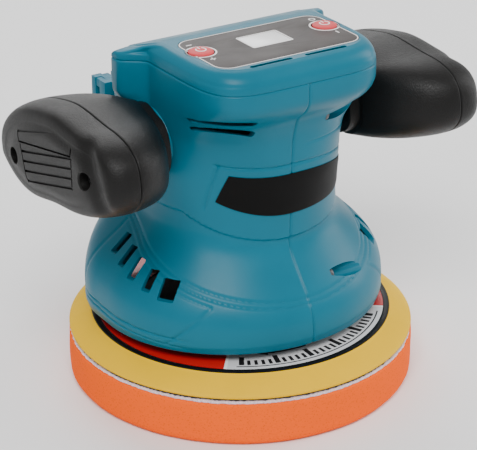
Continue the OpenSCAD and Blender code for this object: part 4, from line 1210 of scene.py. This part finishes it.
def edge_ring():
    """Raised black rim of the stiff plate."""
    z0 = low("pad_edge_ring")[2]
    z1 = high("pad_edge_ring")[2]
    profile = [(PLATE_R - 2.7, z0), (PLATE_R, z0), (PLATE_R, z1 - 0.1), (PLATE_R - 0.2, z1),
               (PLATE_R - 2.5, z1), (PLATE_R - 2.7, z1 - 0.1), (PLATE_R - 2.7, z0)]
    ring = smooth(lathe("plate_rim", profile, (0, PAD_Y), 288), 50)
    return finish_piece(ring, "pad", "ring_black", ["pad_edge_ring"])


# ---- grips

GRIP_L = 102
GRIP_H = 42.5
GRIP_AT = (HANDLE_AT[0] - 3.4, HANDLE_AT[1] - 0.7)
GRIP_DROOP = math.radians(10)
GRIP_POWER = 2.65
GRIP_SCREWS = (-30.5, 31)
SCREW_SINK = 6
GRIP_SHAPE = np.array([
    [0, 0.37, 0.80], [0.06, 0.50, 0.84], [0.15, 0.67, 0.90], [0.3, 0.85, 0.96], [0.48, 0.96, 0.99],
    [0.66, 1, 1], [0.8, 0.99, 0.98], [0.9, 0.95, 0.93], [0.96, 0.89, 0.85], [1, 0.80, 0.73],
])
GRIP_POINTS = 160


def grip_local(u, v):
    """(y, z) of a place on a grip, along and across its drooping axis, from its middle."""
    return (GRIP_AT[0] + u * math.cos(GRIP_DROOP) + v * math.sin(GRIP_DROOP),
            GRIP_AT[1] - u * math.sin(GRIP_DROOP) + v * math.cos(GRIP_DROOP))


def grip_ring(x, length, height, side, grow=0.0):
    """Outline of a grip at one station: an egg-shaped bar that droops to the rear."""
    a = np.linspace(0, 2 * np.pi, GRIP_POINTS, endpoint=False)
    k = reach(a, GRIP_POWER)
    u = k * np.cos(a)
    over = np.maximum(u, 0)
    top = 0.47 + 0.1 * ease((u + 0.6) / 0.6) - 0.09 * over ** 3
    bottom = 0.44 - 0.035 * np.cos(np.pi / 2 * (u - 0.08)) ** 8 - 0.26 * over ** 5
    v = k * np.sin(a) * np.where(np.sin(a) > 0, 2 * top, 2 * bottom)
    along = (GRIP_L / 2 * length + grow) * u
    up = (GRIP_H / 2 * height + grow) * v
    y, z = grip_local(along, up)
    return np.stack([np.full(len(a), side * x), y, z], 1)


COLLAR_H = 5
CROWN_DROP = 1.3
DENT_U = -37.5


def dented(row, side):
    """A ring with the shallow upright dent in front of the grip's flat outer face."""
    row = row.copy()
    along = ((row[:, 1] - GRIP_AT[0]) * math.cos(GRIP_DROOP)
             - (row[:, 2] - GRIP_AT[1]) * math.sin(GRIP_DROOP))
    across = ((row[:, 1] - GRIP_AT[0]) * math.sin(GRIP_DROOP)
              + (row[:, 2] - GRIP_AT[1]) * math.cos(GRIP_DROOP))
    near_face = ease((abs(row[:, 0]) - GRIP_OUT + 11) / 9)
    middle = DENT_U + 0.28 * across
    row[:, 0] -= side * 1.8 * near_face * np.exp(-((along - middle) / 4.5) ** 2)
    return row


def grip_half(side, outer):
    """Inner or outer moulding of a grip, with a fine gap line where they meet."""
    end_name = "outer" if outer else "inner"
    start, end = (SEAM_X, GRIP_OUT) if outer else (GRIP_IN, SEAM_X)
    share = [(x - GRIP_IN) / (GRIP_OUT - GRIP_IN) for x in (start, end)]
    xs = share[0] + (share[1] - share[0]) * (1 - np.cos(np.linspace(0, np.pi, 44))) / 2
    rows = []
    for t in xs:
        s = hermite(GRIP_SHAPE[:, 0], GRIP_SHAPE, t)
        x = GRIP_IN + (GRIP_OUT - GRIP_IN) * t
        gap = max(0.0, 0.7 - abs(x - SEAM_X)) ** 2 * 1.3
        crown = CROWN_DROP * max(0.0, (t - 0.9) / 0.1) ** 2
        rows.append(grip_ring(x - crown, s[1], s[2], side, -gap))
    middle = rows[-1].mean(0) if outer else rows[0].mean(0)
    cap = rows[-1] if outer else rows[0]
    if outer:
        for f in np.linspace(0.985, 0.3, 46):
            ring = middle + (cap - middle) * f
            ring[:, 0] = side * (GRIP_OUT - CROWN_DROP * ease((f - 0.62) / 0.38) ** 1.5)
            rows.append(ring)
        rows = [dented(row, side) for row in rows]
    else:
        collar = []
        for f, out in ((0.88, COLLAR_H), (0.9, COLLAR_H - 0.4), (0.9, 0.6), (0.93, 0.15), (0.97, 0)):
            ring = middle + (cap - middle) * f
            ring[:, 0] = side * (GRIP_IN - out)
            collar.append(ring)
        rows = collar + rows
    shell = loft(f"{hand(side)}_grip_shell_{end_name}", rows)
    inside = side * (GRIP_IN - 8)
    screw_seat = GRIP_OUT - SCREW_SINK
    cutters = [tube_x("bore", inside, side * screw_seat, HANDLE_AT, CORE_R + 0.15, steps=96)]
    if not outer:
        cutters.append(tube_x("recess", inside, side * (BOSS_END + 0.1), HANDLE_AT, BOSS_R + 0.1, steps=96))
    if outer:
        for u in GRIP_SCREWS:
            at = grip_local(u, 0)
            cutters.append(tube_x("seat", side * screw_seat, side * (GRIP_OUT + 2), at, 3.6))
            cutters.append(tube_x("lip", side * (GRIP_OUT - 0.6), side * (GRIP_OUT + 0.6), at, 3.5, 4.9))
        cutters += grip_grooves(side)
    combine(shell, cutters)
    smooth(shell, 34)
    return finish_piece(shell, "housing", "grip_rubber", [f"{hand(side)}_grip_{end_name}"])


def groove_bar(side, start, end, radius=0.5):
    """Cutter for a fine straight groove in a grip's outer face, from (u, v) to (u, v)."""
    def place(u, v, w):
        y, z = grip_local(u, v)
        return (side * (GRIP_OUT - 1.0 + w), y, z)

    return prism("groove", capsule(start, end, radius, 7), place, 1.6)


def grip_grooves(side):
    """Plain outlined field with parallel lines in it."""
    field = [(24.5, 11.5), (-8, 16), (-22, 12.5), (-22, 8.6), (23.5, 7.4)]
    frame_sides = [((22.5, 6.5), (20.5, -9.5)), ((-22.5, 7.5), (-20.5, -5.2))]
    bars = [groove_bar(side, field[i], field[(i + 1) % len(field)], 0.42) for i in range(len(field))]
    bars += [groove_bar(side, start, end, 0.35) for start, end in frame_sides]
    for i in range(4):
        bars.append(groove_bar(side, (21.5 - 0.4 * i, 3.6 - 4.1 * i), (-22 + 0.7 * i, 7.7 - 4.1 * i), 0.5))
    return bars


# ---- fasteners and rear


def screw(name, at, way, head_r, head_h, shank):
    """Pan-head screw with a cross recess; at is the seat of its head and way points outwards."""
    dome = [(0.0, -shank), (SCREW_R, -shank), (SCREW_R, 0.0), (head_r, 0.0), (head_r, head_h * 0.45)]
    for t in np.linspace(0.2, 1.45, 8):
        dome.append((head_r * math.cos(t), head_h * (0.45 + 0.55 * math.sin(t))))
    dome.append((0.0, head_h))
    body = lathe(name, dome, (0, 0), 48)
    arm = head_r * 0.62
    cuts = [box_solid((-arm, -0.42, head_h * 0.35), (arm, 0.42, head_h + 1)),
            box_solid((-0.42, -arm, head_h * 0.35), (0.42, arm, head_h + 1))]
    combine(body, cuts)
    turn = Vector(way).to_track_quat("Z", "Y").to_matrix().to_4x4()
    body.data.transform(Matrix.Translation(Vector(at) * MM) @ turn)
    return body


def screw_set(name, node, places, ways, head_r, head_h, shank):
    """A row of equal screws that stands for one CAD node."""
    parts = [screw("screw", at, way, head_r, head_h, shank) for at, way in zip(places, ways)]
    obj = smooth(join(name, parts), 35)
    return finish_piece(obj, "housing", "screw_steel", [node])


def fasteners():
    """Every visible screw."""
    seats = [(SCREW_SEAT_X, y, z) for y, z in SCREW_SEATS]
    screw_set("shell_screws", "housing_screws", seats, [(1, 0, 0)] * 4, 2.75, 2.3, 25)
    places, ways = [], []
    for side in (-1, 1):
        for u in GRIP_SCREWS:
            places.append((side * (GRIP_OUT - SCREW_SINK), *grip_local(u, 0)))
            ways.append((side, 0, 0))
    screw_set("handle_screws", "grip_screws", places, ways, 3.3, 2.6, 22)
    rail_y = RAIL_HIGH[1]
    spots = [(side * 23.4, rail_y, z) for side in (-1, 1) for z in (RAIL_LOW[2] + 10, RAIL_HIGH[2] - 10)]
    screw_set("rail_screws", "battery_mount_screws", spots, [(0, 1, 0)] * 4, 3.4, 2, 16)


def rear_parts():
    """Battery rails with a stop at the top of each slot, and the terminals."""
    rails = cad_copy("battery_rails", "battery_mount", 0.5)
    (x0, y0, _), (x1, y1, z1) = RAIL_LOW, RAIL_HIGH
    stops = [box_solid((x0 + 0.3, y0 + 3, z1 - 4), (x0 + 8, y1 - 0.3, z1 - 0.3)),
             box_solid((x1 - 8, y0 + 3, z1 - 4), (x1 - 0.3, y1 - 0.3, z1 - 0.3))]
    for stop in stops:
        soften(stop, 0.5)
    rails = smooth(join("battery_rails", [rails] + stops), 35)
    finish_piece(rails, "housing", "teal_plastic", ["battery_mount"])
    for name, node, slot, width in (
            ("terminal_housing", "terminal_block", "switch_black", 0.4),
            ("terminal_blades", "battery_terminals", "terminal_brass", 0.15)):
        finish_piece(cad_copy(name, node, width), "housing", slot, [node])


# ---- stage


def floor():
    """Plain pale floor that curves up behind the object."""
    wide = 2600
    profile = [(-900, 0), (900, 0)]
    for t in np.linspace(0.1, math.pi / 2, 14):
        profile.append((900 + 500 * math.sin(t), 500 - 500 * math.cos(t)))
    profile.append((1400, 2400))
    view = np.array([-CAMERA_BACK[0], -CAMERA_BACK[1]])
    view /= np.linalg.norm(view)
    across = np.array([-view[1], view[0]])
    verts, faces = [], []
    for side in (-1, 1):
        for along, height in profile:
            spot = view * along + across * side * wide / 2
            verts.append((spot[0], spot[1], height - 0.05))
    n = len(profile)
    for i in range(n - 1):
        faces.append((i, i + 1, n + i + 1, n + i))
    sheet = to_object("floor", verts, faces)
    sheet.data.shade_smooth()
    paint = Paint("floor_white", 0.75)
    paint.colour(paint.noise(3, 3), (0.86, 0.86, 0.86), (0.90, 0.90, 0.90))
    sheet.data.materials.append(paint.mat)


def area_light(name, place, aim, size, power, tint=(1, 1, 1)):
    light = bpy.data.lights.new(name, "AREA")
    light.shape = "RECTANGLE"
    light.size, light.size_y = size
    light.energy = power
    light.color = tint
    obj = bpy.data.objects.new(name, light)
    obj.location = place
    obj.rotation_euler = (Vector(aim) - Vector(place)).to_track_quat("-Z", "Y").to_euler()
    bpy.context.scene.collection.objects.link(obj)


def lights():
    middle = (0, 0, 0.08)
    area_light("key", (-0.55, -0.75, 1.15), middle, (0.8, 0.6), 19)
    area_light("side", (1.1, -0.25, 0.55), middle, (0.5, 0.9), 8)
    area_light("back", (0.3, 0.95, 0.9), middle, (0.9, 0.6), 8)
    world = bpy.data.worlds.new("studio")
    world.use_nodes = True
    background = world.node_tree.nodes["Background"]
    background.inputs["Color"].default_value = (1, 1, 1, 1)
    background.inputs["Strength"].default_value = 0.62
    bpy.context.scene.world = world


CAMERA_AT = (-0.4024, -0.6364, 0.4138)
CAMERA_RIGHT = (0.8428, -0.5382, 0.0)
CAMERA_UP = (0.2277, 0.3566, 0.9061)
CAMERA_BACK = (-0.4876, -0.7637, 0.4231)


def camera():
    data = bpy.data.cameras.new("camera")
    data.sensor_width = 36
    data.lens = 144.45
    obj = bpy.data.objects.new("camera", data)
    axes = Matrix((CAMERA_RIGHT, CAMERA_UP, CAMERA_BACK)).transposed().to_4x4()
    obj.matrix_world = Matrix.Translation(CAMERA_AT) @ axes
    bpy.context.scene.collection.objects.link(obj)
    bpy.context.scene.camera = obj


# ---- build

camera()
lights()
floor()
paint_frame()
for side in (-1, 1):
    housing_half(side)
    grip_half(side, False)
    grip_half(side, True)
label_band()
top_cover()
control_panel()
panel_print()
display()
rocker(-1, "speed_button", "speed_button")
rocker(1, "power_button", "power_button")
foam_pad()
frayed_layer("fleece_layer", "loop_layer", FOAM_H, LOOP_TOP, high("loop_layer")[0], 0.5, 11, "loop_pile")
frayed_layer("hook_pile", "hook_layer", LOOP_TOP, HOOK_TOP, high("hook_layer")[0], 1.1, 13, "hook_nylon")
backing_foam()
edge_ring()
label_print()
fasteners()
rear_parts()
